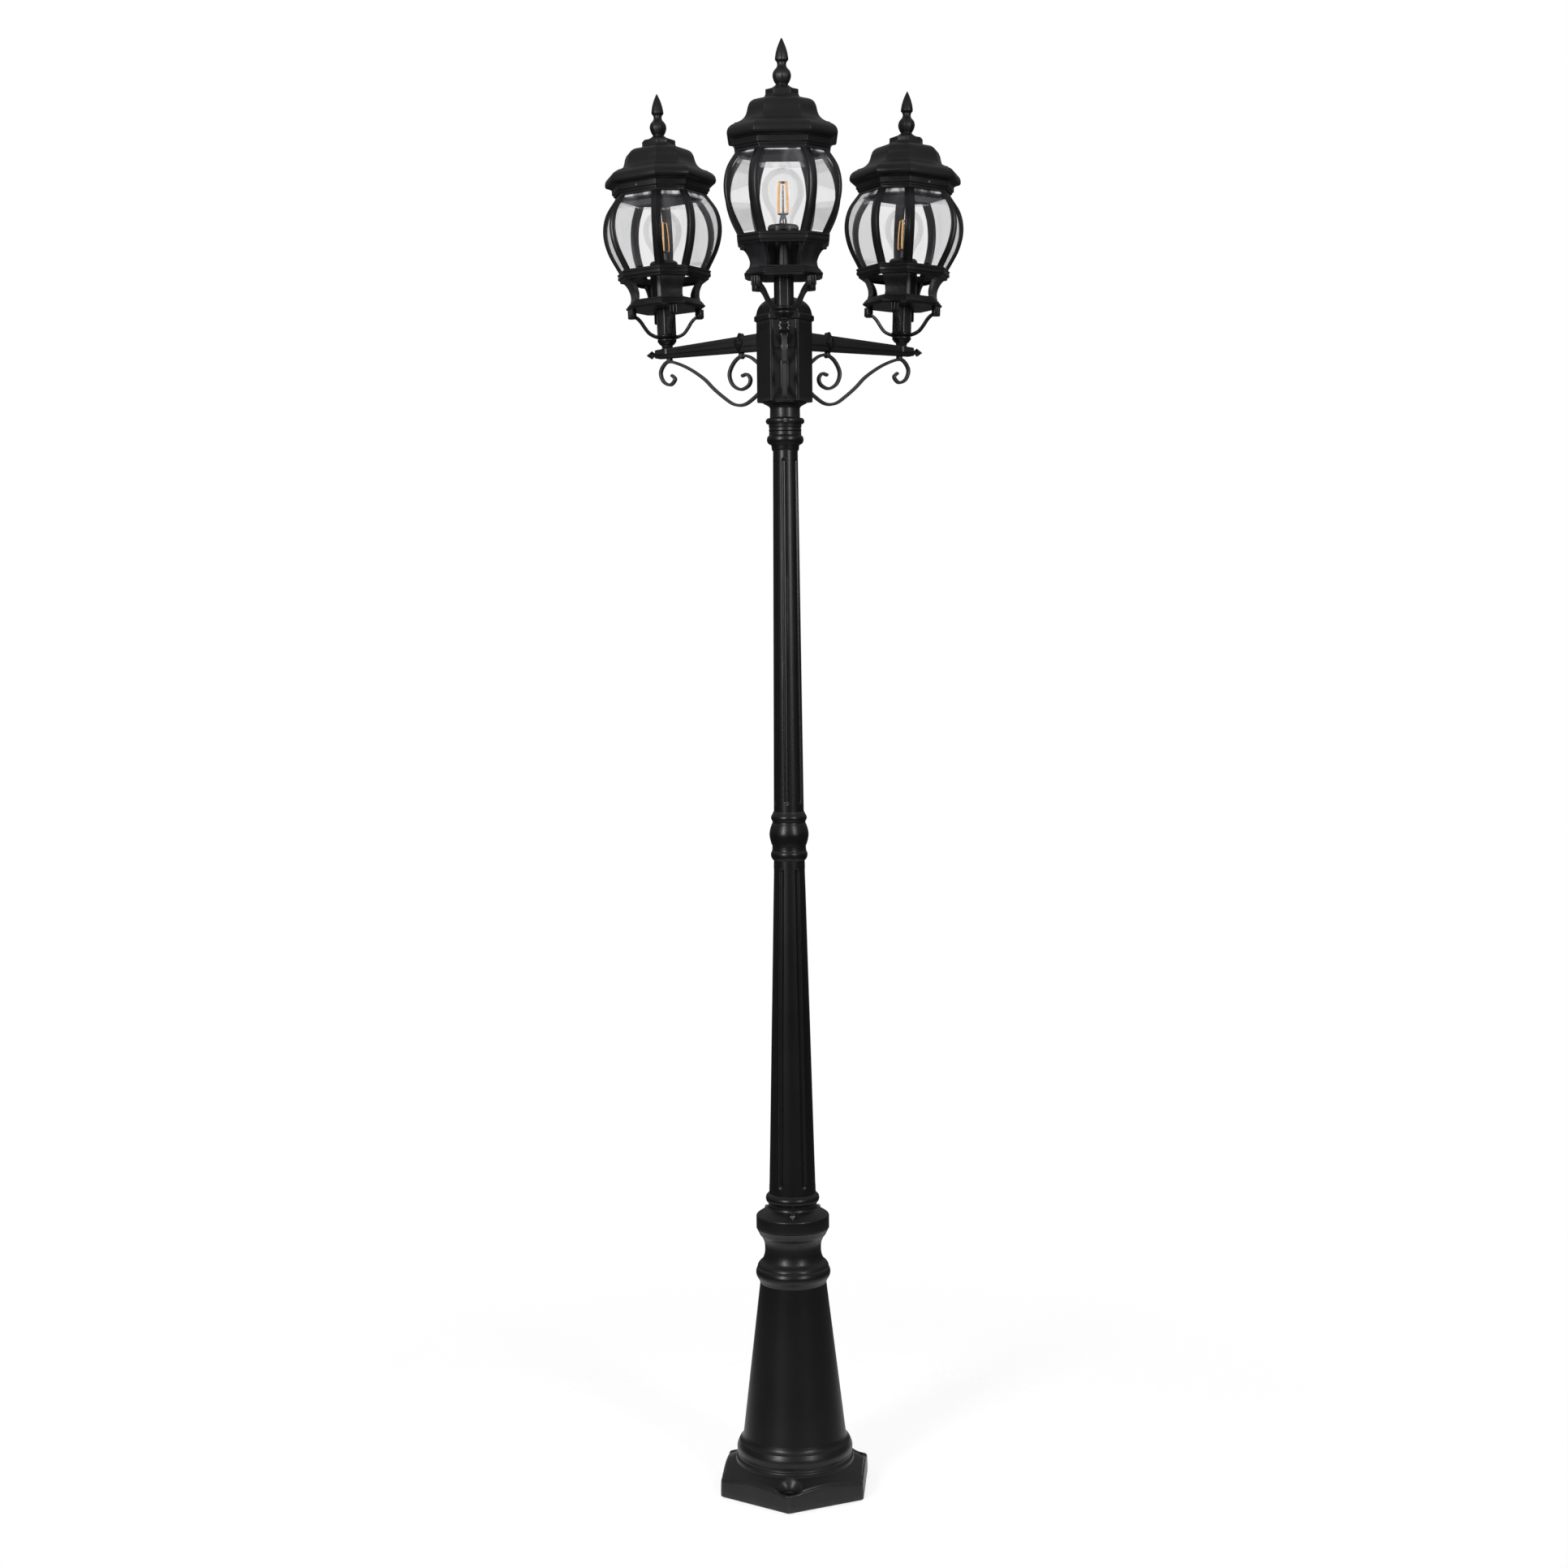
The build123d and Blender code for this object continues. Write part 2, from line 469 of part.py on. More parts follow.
# ---------------------------------------------------------------- arms (arm frame)
ARM_ROOT = HUB_FLAT - HUB_RECESS
TIP_Z = ARM_Z + ARM_H_END / 2


def cut_wire_way():
    """Cut the straight wire way that runs inside the arm from the hub to the lantern."""
    way = Vector(ARM_REACH - ARM_ROOT, 0, TIP_Z - ARM_MID)
    with BuildSketch(Plane((ARM_ROOT, 0, ARM_MID), z_dir=way)) as section:
        Circle(ARM_WIRE_R)
    extrude(section.sketch, amount=way.length, mode=Mode.SUBTRACT)


with BuildPart() as arm:
    with BuildSketch(Plane.XZ):
        Polygon((ARM_ROOT, ARM_Z), (ARM_END - 2, ARM_Z), (ARM_END, ARM_Z + 3),
                (ARM_END, ARM_Z + ARM_H_END - 3), (ARM_END - 2, ARM_Z + ARM_H_END),
                (ARM_ROOT, ARM_Z + ARM_H_ROOT), align=None)
    extrude(amount=ARM_W / 2, both=True)
    with BuildSketch(Plane.XZ):
        Polygon((ARM_ROOT, ARM_Z + 5), (ARM_END - 12, ARM_Z + 4.2), (ARM_END - 12, ARM_Z + 8.6),
                (ARM_ROOT, ARM_Z + ARM_H_ROOT - 7), align=None)
    extrude(amount=ARM_W / 2 + 1, both=True)
    with BuildSketch(Plane.YZ.offset(ARM_ROOT)):
        with Locations((0, ARM_MID)):
            RectangleRounded(ROOT_W, ARM_H_ROOT + 3, 3)
    extrude(amount=ROOT_T)
    with BuildSketch(Plane.XZ):
        with BuildLine():
            Polyline((ARM_END - 1, TIP_Z), (ARM_END - 1, TIP_Z + 3.4), (ARM_END + 4, TIP_Z + 3.0),
                     (ARM_END + 9, TIP_Z + 5.2), (ARM_END + ARM_TIP, TIP_Z), close=True)
        make_face()
    revolve(axis=Axis((0, 0, TIP_Z), (1, 0, 0)))
    with Locations((ARM_REACH, 0, ARM_Z)):
        Cylinder(9, SEAT_Z - ARM_Z - 0.8, align=(Align.CENTER, Align.CENTER, Align.MIN))
    with Locations((ARM_REACH - 4, 0, ARM_Z)):
        Box(8, 7, 3, align=(Align.CENTER, Align.CENTER, Align.MAX))
    with BuildSketch(Plane.XY.offset(ARM_Z + 4)):
        with Locations((ARM_REACH, 0)):
            Circle(3.0)
    extrude(amount=30, mode=Mode.SUBTRACT)
    with BuildSketch(Plane.YZ.offset(ARM_ROOT)):
        for height in BOLT_Z:
            with Locations((0, height)):
                Circle(ARM_BOLT_R + SPIGOT_CLEAR)
    extrude(amount=10, mode=Mode.SUBTRACT)
    cut_wire_way()
place_on_arms(arm.part, "arm")

with BuildPart() as bolts:
    for turn in ARM_TURNS.values():
        across = Plane((0, 0, 0), x_dir=(-sin(radians(turn)), cos(radians(turn)), 0),
                       z_dir=(cos(radians(turn)), sin(radians(turn)), 0))
        inner = HUB_FLAT - HUB_WALL
        for height in BOLT_Z:
            with BuildSketch(across.offset(inner)):
                with Locations((0, height)):
                    Circle(ARM_BOLT_R)
            extrude(amount=HUB_WALL + 7)
            with BuildSketch(across.offset(inner - 3)):
                with Locations((0, height)):
                    RegularPolygon(4.2, 6)
            extrude(amount=3)
write(bolts.part, "arm_bolts")

# Leaf collar: a pointed leaf clasping the arm, a spear above and a drop below
LEAF_Z = ARM_Z + 11.5
with BuildPart() as leaf_collar:
    with BuildSketch(Plane.XZ):
        with Locations((LEAF_AT, LEAF_Z)):
            Polygon((0, LEAF_H / 2 + 1), (LEAF_HALF * 0.55, LEAF_H / 2 - 4.5), (LEAF_HALF, 1.5),
                    (LEAF_HALF * 0.5, -LEAF_H / 2 + 2), (-LEAF_HALF * 0.5, -LEAF_H / 2 + 2),
                    (-LEAF_HALF, 1.5), (-LEAF_HALF * 0.55, LEAF_H / 2 - 4.5), align=None)
    extrude(amount=LEAF_W / 2, both=True)
    with BuildSketch(Plane.YZ.offset(LEAF_AT)):
        with Locations((0, LEAF_Z)):
            Polygon((0, LEAF_H / 2 + 1), (LEAF_W * 0.36, LEAF_H / 2 - 6), (LEAF_W / 2, 2),
                    (LEAF_W * 0.3, -LEAF_H / 2 + 2), (-LEAF_W * 0.3, -LEAF_H / 2 + 2),
                    (-LEAF_W / 2, 2), (-LEAF_W * 0.36, LEAF_H / 2 - 6), align=None)
    extrude(amount=BIG, both=True, mode=Mode.INTERSECT)
    add(arm.part, mode=Mode.SUBTRACT)
    cut_wire_way()
place_on_arms(leaf_collar.part, "leaf_collar")

# Scrolls: a long bar that rolls up under the lantern and sweeps down to the hub, and a
# C-shaped bar between the arm and the hub, each pinned to the arm by a short clip
bar_root = HUB_FLAT - HUB_RECESS
long_bar = [(202, -26.5), (196, -33), (204.5, -41), (217, -35.5), (222, -21), (213, -7.5), (200, -6.5),
            (172, -17.5), (144, -35), (126, -51.5), (107, -66.5), (89, -77.5), (70, -78.5),
            (50, -67), (bar_root + 1.5, -55)]
c_bar = [(bar_root + 1.5, -28), (48, -16.5), (61, -7.5), (75, -5.5), (88.5, -14), (97, -31), (91.5, -47.5),
         (77, -55.5), (63.5, -50.5), (60, -41), (66, -33.5), (75, -35.5)]
with BuildPart() as scroll:
    for points in (long_bar, c_bar):
        bar(Plane.XZ, [(x, ARM_Z + z) for x, z in points], SCROLL_T, SCROLL_W)
    for x, depth in ((ARM_REACH - 4, 5.5), (LEAF_AT - 1, 9.0)):
        with Locations((x, 0, ARM_Z - 3.4)):
            Box(7, SCROLL_W + 4, depth, align=(Align.CENTER, Align.CENTER, Align.MAX))
    with BuildSketch(Plane.YZ.offset(bar_root)):
        with Locations((0, ARM_Z - 41)):
            RectangleRounded(SCROLL_W + 4, 42, 2)
    extrude(amount=2.5)
place_on_arms(scroll.part, "scroll")

# ---------------------------------------------------------------- lantern basket
strut_line = [(CUP_R - 1, CUP_H + 2), (28, 22), (35, 31.5), (39.5, 38.5), (46, 45), (53, 48)]
cup_runs = [
    [(8.6, 0), (9.6, 4), (CUP_R, 9)],
    [(CUP_R, 9), (CUP_R - 1.4, CUP_H - 1)],
    [(CUP_R - 1.4, CUP_H - 1), (STEM_R + 1.2, CUP_H)],
    [(STEM_R + 1.2, CUP_H), (STEM_R + 1.2, CUP_H + 4)],
]
with BuildPart() as basket:
    turned(cup_runs)
    for turn in (45, 135, 225, 315):
        bar(upright(turn), strut_line, STRUT_T, STRUT_W)
        lug_plane = Plane((0, 0, LUG_Z), x_dir=(cos(radians(turn)), sin(radians(turn)), 0))
        with BuildSketch(lug_plane):
            with Locations(((LUG_IN + LUG_OUT - 4) / 2, 0)):
                Rectangle(LUG_OUT - LUG_IN - 4, LUG_W)
            with Locations(*[(LUG_OUT - 4, LUG_W * step / 3) for step in (-1, 0, 1)]):
                Circle(LUG_W / 6)
        extrude(amount=GALLERY_Z - LUG_Z)
    turned(straight((4, -1), (4, CUP_H + 1)), mode=Mode.SUBTRACT)
    turned(straight((STEM_R + 0.2, CUP_H), (STEM_R + 0.2, LUG_Z - 8)), mode=Mode.SUBTRACT)
place_in_lanterns(basket.part, "basket")

# Stem tube, eight-sided, between the cup and the gallery plate
with BuildPart() as stem:
    with BuildSketch(Plane.XY.offset(CUP_H)):
        RegularPolygon(STEM_R, 8, rotation=22.5)
        Circle(STEM_R - 4.5, mode=Mode.SUBTRACT)
    extrude(amount=GALLERY_Z - CUP_H)
place_in_lanterns(stem.part, "stem")

# ---------------------------------------------------------------- gallery casting
gallery_runs = [
    [(GALLERY_PLATE_R - 5, GALLERY_Z), (GALLERY_PLATE_R, GALLERY_Z + 4)],
    [(GALLERY_PLATE_R, GALLERY_Z + 4), (GALLERY_PLATE_R, GALLERY_Z + 7)],
    [(GALLERY_PLATE_R, GALLERY_Z + 7), (GALLERY_PLATE_R - 3.5, GALLERY_Z + 10)],
    [(GALLERY_PLATE_R - 3.5, GALLERY_Z + 10), (GALLERY_PLATE_R - 4, GALLERY_Z + 13)],
    [(GALLERY_PLATE_R - 4, GALLERY_Z + 13), (GALLERY_WAIST_R + 0.5, PLATE_TOP - 2)],
    [(GALLERY_WAIST_R + 0.5, PLATE_TOP - 2), (GALLERY_WAIST_R, PLATE_TOP + 5),
     (GALLERY_WAIST_R + 4.5, PLATE_TOP + 17), (RING_R - 8.5, RING_Z)],
    [(RING_R - 8.5, RING_Z), (RING_R - 3, RING_Z + 1)],
    [(RING_R - 3, RING_Z + 1), (RING_R - 3, RING_Z + 4)],
    [(RING_R - 3, RING_Z + 4), (RING_R, RING_Z + 5)],
    [(RING_R, RING_Z + 5), (RING_R, CAGE_Z - 2)],
    [(RING_R, CAGE_Z - 2), (RING_R - 2, CAGE_Z)],
]
gallery_hollow = [
    [(GALLERY_WAIST_R - GALLERY_WALL, PLATE_TOP - 4), (GALLERY_WAIST_R - GALLERY_WALL, PLATE_TOP + 5),
     (GALLERY_WAIST_R + 0.5, PLATE_TOP + 17), (RING_R - 13, RING_Z)],
]
with BuildPart() as gallery:
    add(faceted(gallery_runs, OCTAGON_SIDES))
    add(faceted(gallery_hollow, OCTAGON_SIDES), mode=Mode.SUBTRACT)
    add(faceted(straight((RING_R - 8, RING_Z + 5), (RING_R - 8, CAGE_Z + 5)), OCTAGON_SIDES),
        mode=Mode.SUBTRACT)
    for turn in (0, 90):
        with BuildSketch(upright(turn)):
            with BuildLine():
                Polyline((-GALLERY_WINDOW, PLATE_TOP), (GALLERY_WINDOW, PLATE_TOP),
                         (GALLERY_WINDOW + 1.5, RING_Z), (-GALLERY_WINDOW - 1.5, RING_Z), close=True)
            make_face()
            fillet(vertices(), radius=3)
        extrude(amount=BIG, both=True, mode=Mode.SUBTRACT)
    turned(straight((HOLDER_R + 0.2, PLATE_TOP - 4), (HOLDER_R + 0.2, RING_Z + 6)), mode=Mode.SUBTRACT)
    turned(straight((4, GALLERY_Z - 1), (4, PLATE_TOP)), mode=Mode.SUBTRACT)
place_in_lanterns(gallery.part, "gallery")

# ---------------------------------------------------------------- cage of ribs, and glass
CAGE_MID = CAGE_Z + (CAGE_TOP - CAGE_Z) * 0.49
cage_line = [(CAGE_TOP_R, CAGE_Z), (CAGE_BULGE_R - 5.5, CAGE_MID - 27), (CAGE_BULGE_R, CAGE_MID),
             (CAGE_BULGE_R - 5, CAGE_MID + 28), (CAGE_TOP_R, CAGE_TOP - 6)]
cage_runs = [cage_line, [(CAGE_TOP_R, CAGE_TOP - 6), (CAGE_TOP_R, CAGE_TOP)]]
GLASS_IN = RIB_T + GLASS_CLEAR


def window(turn, corner_half):
    """Cut one pair of opposite cage windows, narrower than the side by a rib's flange."""
    half = sin(radians(corner_half))
    sides = [(radius * half - RIB_HALF, height) for radius, height in cage_line]
    low, top = CAGE_Z + 4, CAGE_TOP - 7
    sides = [(sides[0][0] + 1, low), *sides[1:-1], (sides[-1][0] + 1, top)]
    with BuildSketch(upright(turn + 90)) as opening:
        with BuildLine():
            Spline(*sides)
            Line(sides[-1], (0, top))
            Line((0, top), (0, low))
            Line((0, low), sides[0])
        make_face()
        mirror(about=Plane.YZ)
    extrude(opening.sketch, amount=BIG, both=True, mode=Mode.SUBTRACT)


with BuildPart() as cage:
    add(faceted(cage_runs, OCTAGON_SIDES))
    add(faceted(inward(cage_runs, RIB_T), OCTAGON_SIDES), mode=Mode.SUBTRACT)
    for turn in (0, 90):
        window(turn, CORNER)
        window(turn + 45, NARROW)
place_in_lanterns(cage.part, "cage")

glass_line = [(radius - GLASS_IN, height) for radius, height in cage_line]
with BuildPart() as glass:
    add(faceted([glass_line], OCTAGON_SIDES))
    add(faceted(inward([glass_line], GLASS_T), OCTAGON_SIDES), mode=Mode.SUBTRACT)
    for quarter in (0, 90):
        for corner in (CORNER, -CORNER):
            with BuildSketch(upright(quarter + corner)):
                Rectangle(BIG, BIG * 2)
            extrude(amount=1.2, both=True, mode=Mode.SUBTRACT)
place_in_lanterns(glass.part, "glass")

# ---------------------------------------------------------------- lampholder and bulb
CAP_BOTTOM = HOLDER_TOP - BULB_CAP_H + 1
BULB_MID = BULB_TOP - BULB_R
with BuildPart() as lampholder:
    with BuildSketch(Plane.XY.offset(PLATE_TOP - 4)):
        RegularPolygon(HOLDER_R, 12)
    extrude(amount=HOLDER_TOP - PLATE_TOP + 4)
    chamfer(faces().sort_by(Axis.Z)[-1].edges(), length=2)
    turned(straight((BULB_CAP_R + 1.2, CAP_BOTTOM - 0.5), (BULB_CAP_R + 1.2, HOLDER_TOP + 1)),
           mode=Mode.SUBTRACT)
    turned(straight((4, PLATE_TOP - 5), (4, CAP_BOTTOM - 6)), mode=Mode.SUBTRACT)
place_in_lanterns(lampholder.part, "lampholder")

bulb_runs = [
    [(BULB_CAP_R + 0.1, HOLDER_TOP + 1), (BULB_CAP_R + 2.4, HOLDER_TOP + 9), (BULB_R - 5.5, BULB_MID - 16),
     (BULB_R, BULB_MID), (BULB_R - 8.5, BULB_MID + 21), (6, BULB_TOP - 0.6)],
    [(6, BULB_TOP - 0.6), (2, BULB_TOP)],
]
with BuildPart() as bulb_glass:
    turned(bulb_runs)
    inner = [[(max(radius - 1, 1.5), height - (0 if number < 4 else 1)) for number, (radius, height)
              in enumerate(bulb_runs[0])]]
    turned(inner, mode=Mode.SUBTRACT)
place_in_lanterns(bulb_glass.part, "bulb_glass")

thread = []
for turn_number in range(5):
    base = CAP_BOTTOM + 6 + turn_number * 3.4
    thread += [(BULB_CAP_R - 0.9, base), (BULB_CAP_R, base + 1.7)]
with BuildPart() as bulb_cap:
    turned(straight((4.5, CAP_BOTTOM), (5.5, CAP_BOTTOM + 2), (11, CAP_BOTTOM + 5), *thread,
                    (BULB_CAP_R - 0.4, HOLDER_TOP + 1)))
place_in_lanterns(bulb_cap.part, "bulb_cap")

# Glass mount and two pairs of filament strips standing on the cap
with BuildPart() as filaments:
    with Locations((0, 0, HOLDER_TOP + 1)):
        Cone(6, 3.2, 16, align=(Align.CENTER, Align.CENTER, Align.MIN))
        Cylinder(2.2, 27, align=(Align.CENTER, Align.CENTER, Align.MIN))
    for side in (-1, 1):
        for depth in (-1, 1):
            with BuildSketch(Plane.XY.offset(HOLDER_TOP + 17)):
                with Locations((side * 4.0, depth * 4.0)):
                    Circle(0.9)
            extrude(amount=38, taper=-0.4)
    with Locations((0, 0, HOLDER_TOP + 16)):
        Box(10, 10, 1.6, align=(Align.CENTER, Align.CENTER, Align.MIN))
    with Locations((0, 0, HOLDER_TOP + 54)):
        Box(10.5, 10.5, 1.2, align=(Align.CENTER, Align.CENTER, Align.MIN))
place_in_lanterns(filaments.part, "filaments")

# ---------------------------------------------------------------- roof
FASCIA_LOW = CAGE_TOP - ROOF_LAP
FASCIA_TOP = CAGE_TOP + 9
roof_runs = [
    [(FASCIA_R, FASCIA_LOW), (FASCIA_R, FASCIA_LOW + 2.5)],
    [(FASCIA_R, FASCIA_LOW + 2.5), (FASCIA_R + 2.6, FASCIA_LOW + 4)],
    [(FASCIA_R + 2.6, FASCIA_LOW + 4), (FASCIA_R + 2.6, FASCIA_TOP)],
    [(FASCIA_R + 2.6, FASCIA_TOP), (EAVE_R - 1.2, FASCIA_TOP + 1.5)],
    [(EAVE_R - 1.2, FASCIA_TOP + 1.5), (EAVE_R, EAVE_Z), (EAVE_R - 4, EAVE_Z + 8), (77, EAVE_Z + 11.5)],
    [(77, EAVE_Z + 11.5), (74, EAVE_Z + 12.5)],
    [(74, EAVE_Z + 12.5), (63, EAVE_Z + 17.5), (56, EAVE_Z + 26), (53, ROOF_TOP - 14),
     (49, ROOF_TOP - 6.5), (41, ROOF_TOP - 1.8), (CAP_FOOT_R + 3, ROOF_TOP)],
]
roof_hollow = [
    [(CAGE_TOP_R + 0.8, FASCIA_LOW), (CAGE_TOP_R + 0.8, CAGE_TOP)],
    [(CAGE_TOP_R + 0.8, CAGE_TOP), (CAGE_TOP_R - 6, CAGE_TOP + 1)],
    [(CAGE_TOP_R - 6, CAGE_TOP + 1), (CAGE_TOP_R - 3, EAVE_Z + 5)],
    [(CAGE_TOP_R - 3, EAVE_Z + 5), (60, EAVE_Z + 15), (53, EAVE_Z + 25), (49.5, ROOF_TOP - 15),
     (45, ROOF_TOP - 8), (CAP_FOOT_R + 2, ROOF_TOP - ROOF_WALL - 1.5)],
]
SCREW_FACE = (FASCIA_R + 2.6) * cos(radians(CORNER))
CAGE_FACE = (CAGE_TOP_R + 0.8) * cos(radians(CORNER))
GRUB_Z = CAGE_TOP + 3.5
GRUB_R = 1.8
with BuildPart() as roof:
    add(faceted(roof_runs, OCTAGON_SIDES))
    add(faceted(roof_hollow, OCTAGON_SIDES), mode=Mode.SUBTRACT)
    turned(straight((5, ROOF_TOP - 20), (5, ROOF_TOP + 5)), mode=Mode.SUBTRACT)
    with BuildSketch(Plane.XZ):
        with Locations((0, GRUB_Z)):
            Circle(GRUB_R + SPIGOT_CLEAR)
    extrude(amount=BIG, both=True, mode=Mode.SUBTRACT)
place_in_lanterns(roof.part, "roof")

with BuildPart() as roof_screws:
    for direction in (1, -1):
        with BuildSketch(Plane.XZ.offset(direction * (CAGE_FACE - 4))):
            with Locations((0, GRUB_Z)):
                Circle(GRUB_R)
        extrude(amount=direction * (SCREW_FACE - CAGE_FACE + 5))
place_in_lanterns(roof_screws.part, "roof_screws")

# ---------------------------------------------------------------- finial
cap_runs = straight((CAP_FOOT_R + 1, ROOF_TOP), (CAP_FOOT_R, ROOF_TOP + 1.6), (CAP_R, ROOF_TOP + 3.6),
                    (CAP_R, CAP_TOP), (CAP_R - 4, CAP_TOP + 1.6), (9, CAP_TOP + 8))
BALL_MID = CAP_TOP + 20.5
spear_runs = [
    [(8.4, CAP_TOP + 5), (8.8, CAP_TOP + 9)],
    [(8.8, CAP_TOP + 9), (FINIAL_BALL_R - 1.6, BALL_MID - 6.5), (FINIAL_BALL_R, BALL_MID),
     (FINIAL_BALL_R - 1.8, BALL_MID + 6.5), (7.4, BALL_MID + 12)],
    [(7.4, BALL_MID + 12), (6.6, BALL_MID + 15)],
    [(6.6, BALL_MID + 15), (8.6, BALL_MID + 18), (9.5, BALL_MID + 21.5), (8.3, BALL_MID + 26),
     (4.6, FINIAL_TIP - 13), (1.2, FINIAL_TIP)],
]
with BuildPart() as finial:
    add(faceted(cap_runs, OCTAGON_SIDES))
    turned(spear_runs)
    turned(straight((4.6, ROOF_TOP - 14), (4.6, ROOF_TOP + 1)))
place_in_lanterns(finial.part, "finial")
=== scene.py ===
"""Three-lantern garden lamp post: the pieces as they are seen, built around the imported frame."""

import json
import math

import bmesh
import bpy
import numpy as np
from mathutils import Matrix, Vector


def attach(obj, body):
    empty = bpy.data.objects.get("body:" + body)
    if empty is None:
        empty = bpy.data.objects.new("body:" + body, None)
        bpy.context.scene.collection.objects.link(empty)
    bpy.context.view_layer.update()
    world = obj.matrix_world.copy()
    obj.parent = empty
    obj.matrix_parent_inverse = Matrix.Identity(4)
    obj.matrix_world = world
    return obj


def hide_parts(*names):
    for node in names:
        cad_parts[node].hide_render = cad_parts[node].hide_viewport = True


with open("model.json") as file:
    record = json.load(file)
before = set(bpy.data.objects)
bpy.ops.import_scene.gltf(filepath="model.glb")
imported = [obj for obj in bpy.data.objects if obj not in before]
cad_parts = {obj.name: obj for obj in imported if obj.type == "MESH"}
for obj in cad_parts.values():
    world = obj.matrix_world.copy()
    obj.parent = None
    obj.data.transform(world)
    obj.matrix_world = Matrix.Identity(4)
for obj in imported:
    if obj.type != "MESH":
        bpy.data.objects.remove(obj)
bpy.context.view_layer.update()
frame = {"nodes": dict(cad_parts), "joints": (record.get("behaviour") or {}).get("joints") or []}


# ---------------------------------------------------------------- camera
# A standing eye, 3.5 m in front of the post, tipped down a little to take in the base.
camera = bpy.data.objects.new("Camera", bpy.data.cameras.new("Camera"))
bpy.context.scene.collection.objects.link(camera)
camera.data.sensor_width = 36
camera.data.lens = 52.64
camera.data.clip_end = 60
TIP_DOWN, TURN, ROLL = 0.071, 0.002, -0.0098
camera.matrix_world = (Matrix.Translation((0, -3.492, 1.342)) @ Matrix.Rotation(TURN, 4, "Z")
                       @ Matrix.Rotation(math.pi / 2 - TIP_DOWN, 4, "X") @ Matrix.Rotation(ROLL, 4, "Z"))
bpy.context.scene.camera = camera


# ---------------------------------------------------------------- base casting
# The heavy foot of the post, sand-cast in aluminium and powder coated satin black: a hexagonal
# plate with three bolt pads, a flare up to a round foot, a bead and a tapering column.
MM = 0.001
COLUMNS = 160


class Value:
    """A socket in a material's tree. Arithmetic on it adds Math nodes."""

    def __init__(self, tree, socket=None):
        self.tree = tree
        self.socket = socket

    def node(self, kind, settings, sockets, output=0):
        """Add a node: its settings first, then a value or a link for each named socket."""
        made = self.tree.nodes.new(kind)
        for name, value in settings.items():
            if name == "stops":
                ramp = made.color_ramp
                for number, (place, colour) in enumerate(value):
                    stop = ramp.elements[number] if number < 2 else ramp.elements.new(place)
                    stop.position = place
                    stop.color = colour
            else:
                setattr(made, name, value)
        for name, value in sockets.items():
            if isinstance(value, Value):
                self.tree.links.new(value.socket, made.inputs[name])
            else:
                made.inputs[name].default_value = value
        return Value(self.tree, made.outputs[output] if len(made.outputs) else None)

    def math(self, operation, first, second):
        return self.node("ShaderNodeMath", {"operation": operation}, {0: first, 1: second})

    def __add__(self, other):
        return self.math("ADD", self, other)

    def __radd__(self, other):
        return self.math("ADD", other, self)

    def __sub__(self, other):
        return self.math("SUBTRACT", self, other)

    def __rsub__(self, other):
        return self.math("SUBTRACT", other, self)

    def __mul__(self, other):
        return self.math("MULTIPLY", self, other)

    def __rmul__(self, other):
        return self.math("MULTIPLY", other, self)

    def noise(self, scale, detail=3.0, stretch=(1, 1, 1)):
        """Noise from 0 to 1 in the piece's own coordinates, in cells per metre."""
        place = self.node("ShaderNodeTexCoord", {}, {}, "Object")
        spread = self.node("ShaderNodeMapping", {}, {"Vector": place, "Scale": stretch})
        return self.node("ShaderNodeTexNoise", {}, {"Vector": spread, "Scale": scale, "Detail": detail})

    def band(self, low, high):
        """0 below low, 1 above high, smooth between."""
        return self.node("ShaderNodeMapRange", {"interpolation_type": "SMOOTHSTEP"},
                         {"Value": self, "From Min": low, "From Max": high})

    def blend(self, first, second):
        """A colour between first and second, by this value."""
        return self.node("ShaderNodeMix", {"data_type": "RGBA"}, {0: self, 6: first, 7: second}, 2)


def new_material(name):
    """An empty material and the start of its tree."""
    material = bpy.data.materials.new(name)
    material.use_nodes = True
    material.node_tree.nodes.clear()
    return material, Value(material.node_tree)


def surface(start, **sockets):
    """End a material's tree in one Principled shader."""
    named = {name.replace("_", " "): value for name, value in sockets.items()}
    shader = start.node("ShaderNodeBsdfPrincipled", {}, named)
    start.node("ShaderNodeOutputMaterial", {}, {"Surface": shader})


def powder_coat(name, shade, gloss, grain, dust=0.0):
    """Satin black powder coat: a fine orange peel, rubbed outer edges and a little dust low down."""
    material, start = new_material(name)
    cloud = start.noise(9, 4)
    peel = start.noise(grain, 2)
    pitting = start.noise(150, 3)
    rubbed = start.node("ShaderNodeAttribute", {"attribute_name": "edge"}, {}, "Fac")
    rubbed = rubbed * (0.35 + 0.65 * start.noise(55, 3).band(0.35, 0.65))
    body = cloud.band(0.3, 0.7).blend((shade, shade, shade * 1.05, 1),
                                      (shade * 1.5, shade * 1.5, shade * 1.6, 1))
    body = (rubbed * 0.45).blend(body, (0.055, 0.055, 0.06, 1))
    roughness = gloss + 0.10 * cloud - 0.10 * rubbed + 0.05 * pitting
    if dust:
        place = start.node("ShaderNodeTexCoord", {}, {}, "Object")
        height = start.node("ShaderNodeSeparateXYZ", {}, {"Vector": place}, "Z")
        dusty = (1 - height.band(0.0, 0.09)) * start.noise(38, 5).band(0.4, 0.75) * dust
        body = dusty.blend(body, (0.03, 0.029, 0.028, 1))
        roughness = roughness + 0.3 * dusty
    bump = start.node("ShaderNodeBump", {}, {"Strength": 0.14, "Distance": 0.0005,
                                             "Height": peel * 0.5 + pitting * 0.5})
    surface(start, Base_Color=body, Roughness=roughness, Normal=bump, Specular_IOR_Level=0.42,
            Coat_Weight=0.1 + 0.1 * cloud, Coat_Roughness=0.22)
    return material


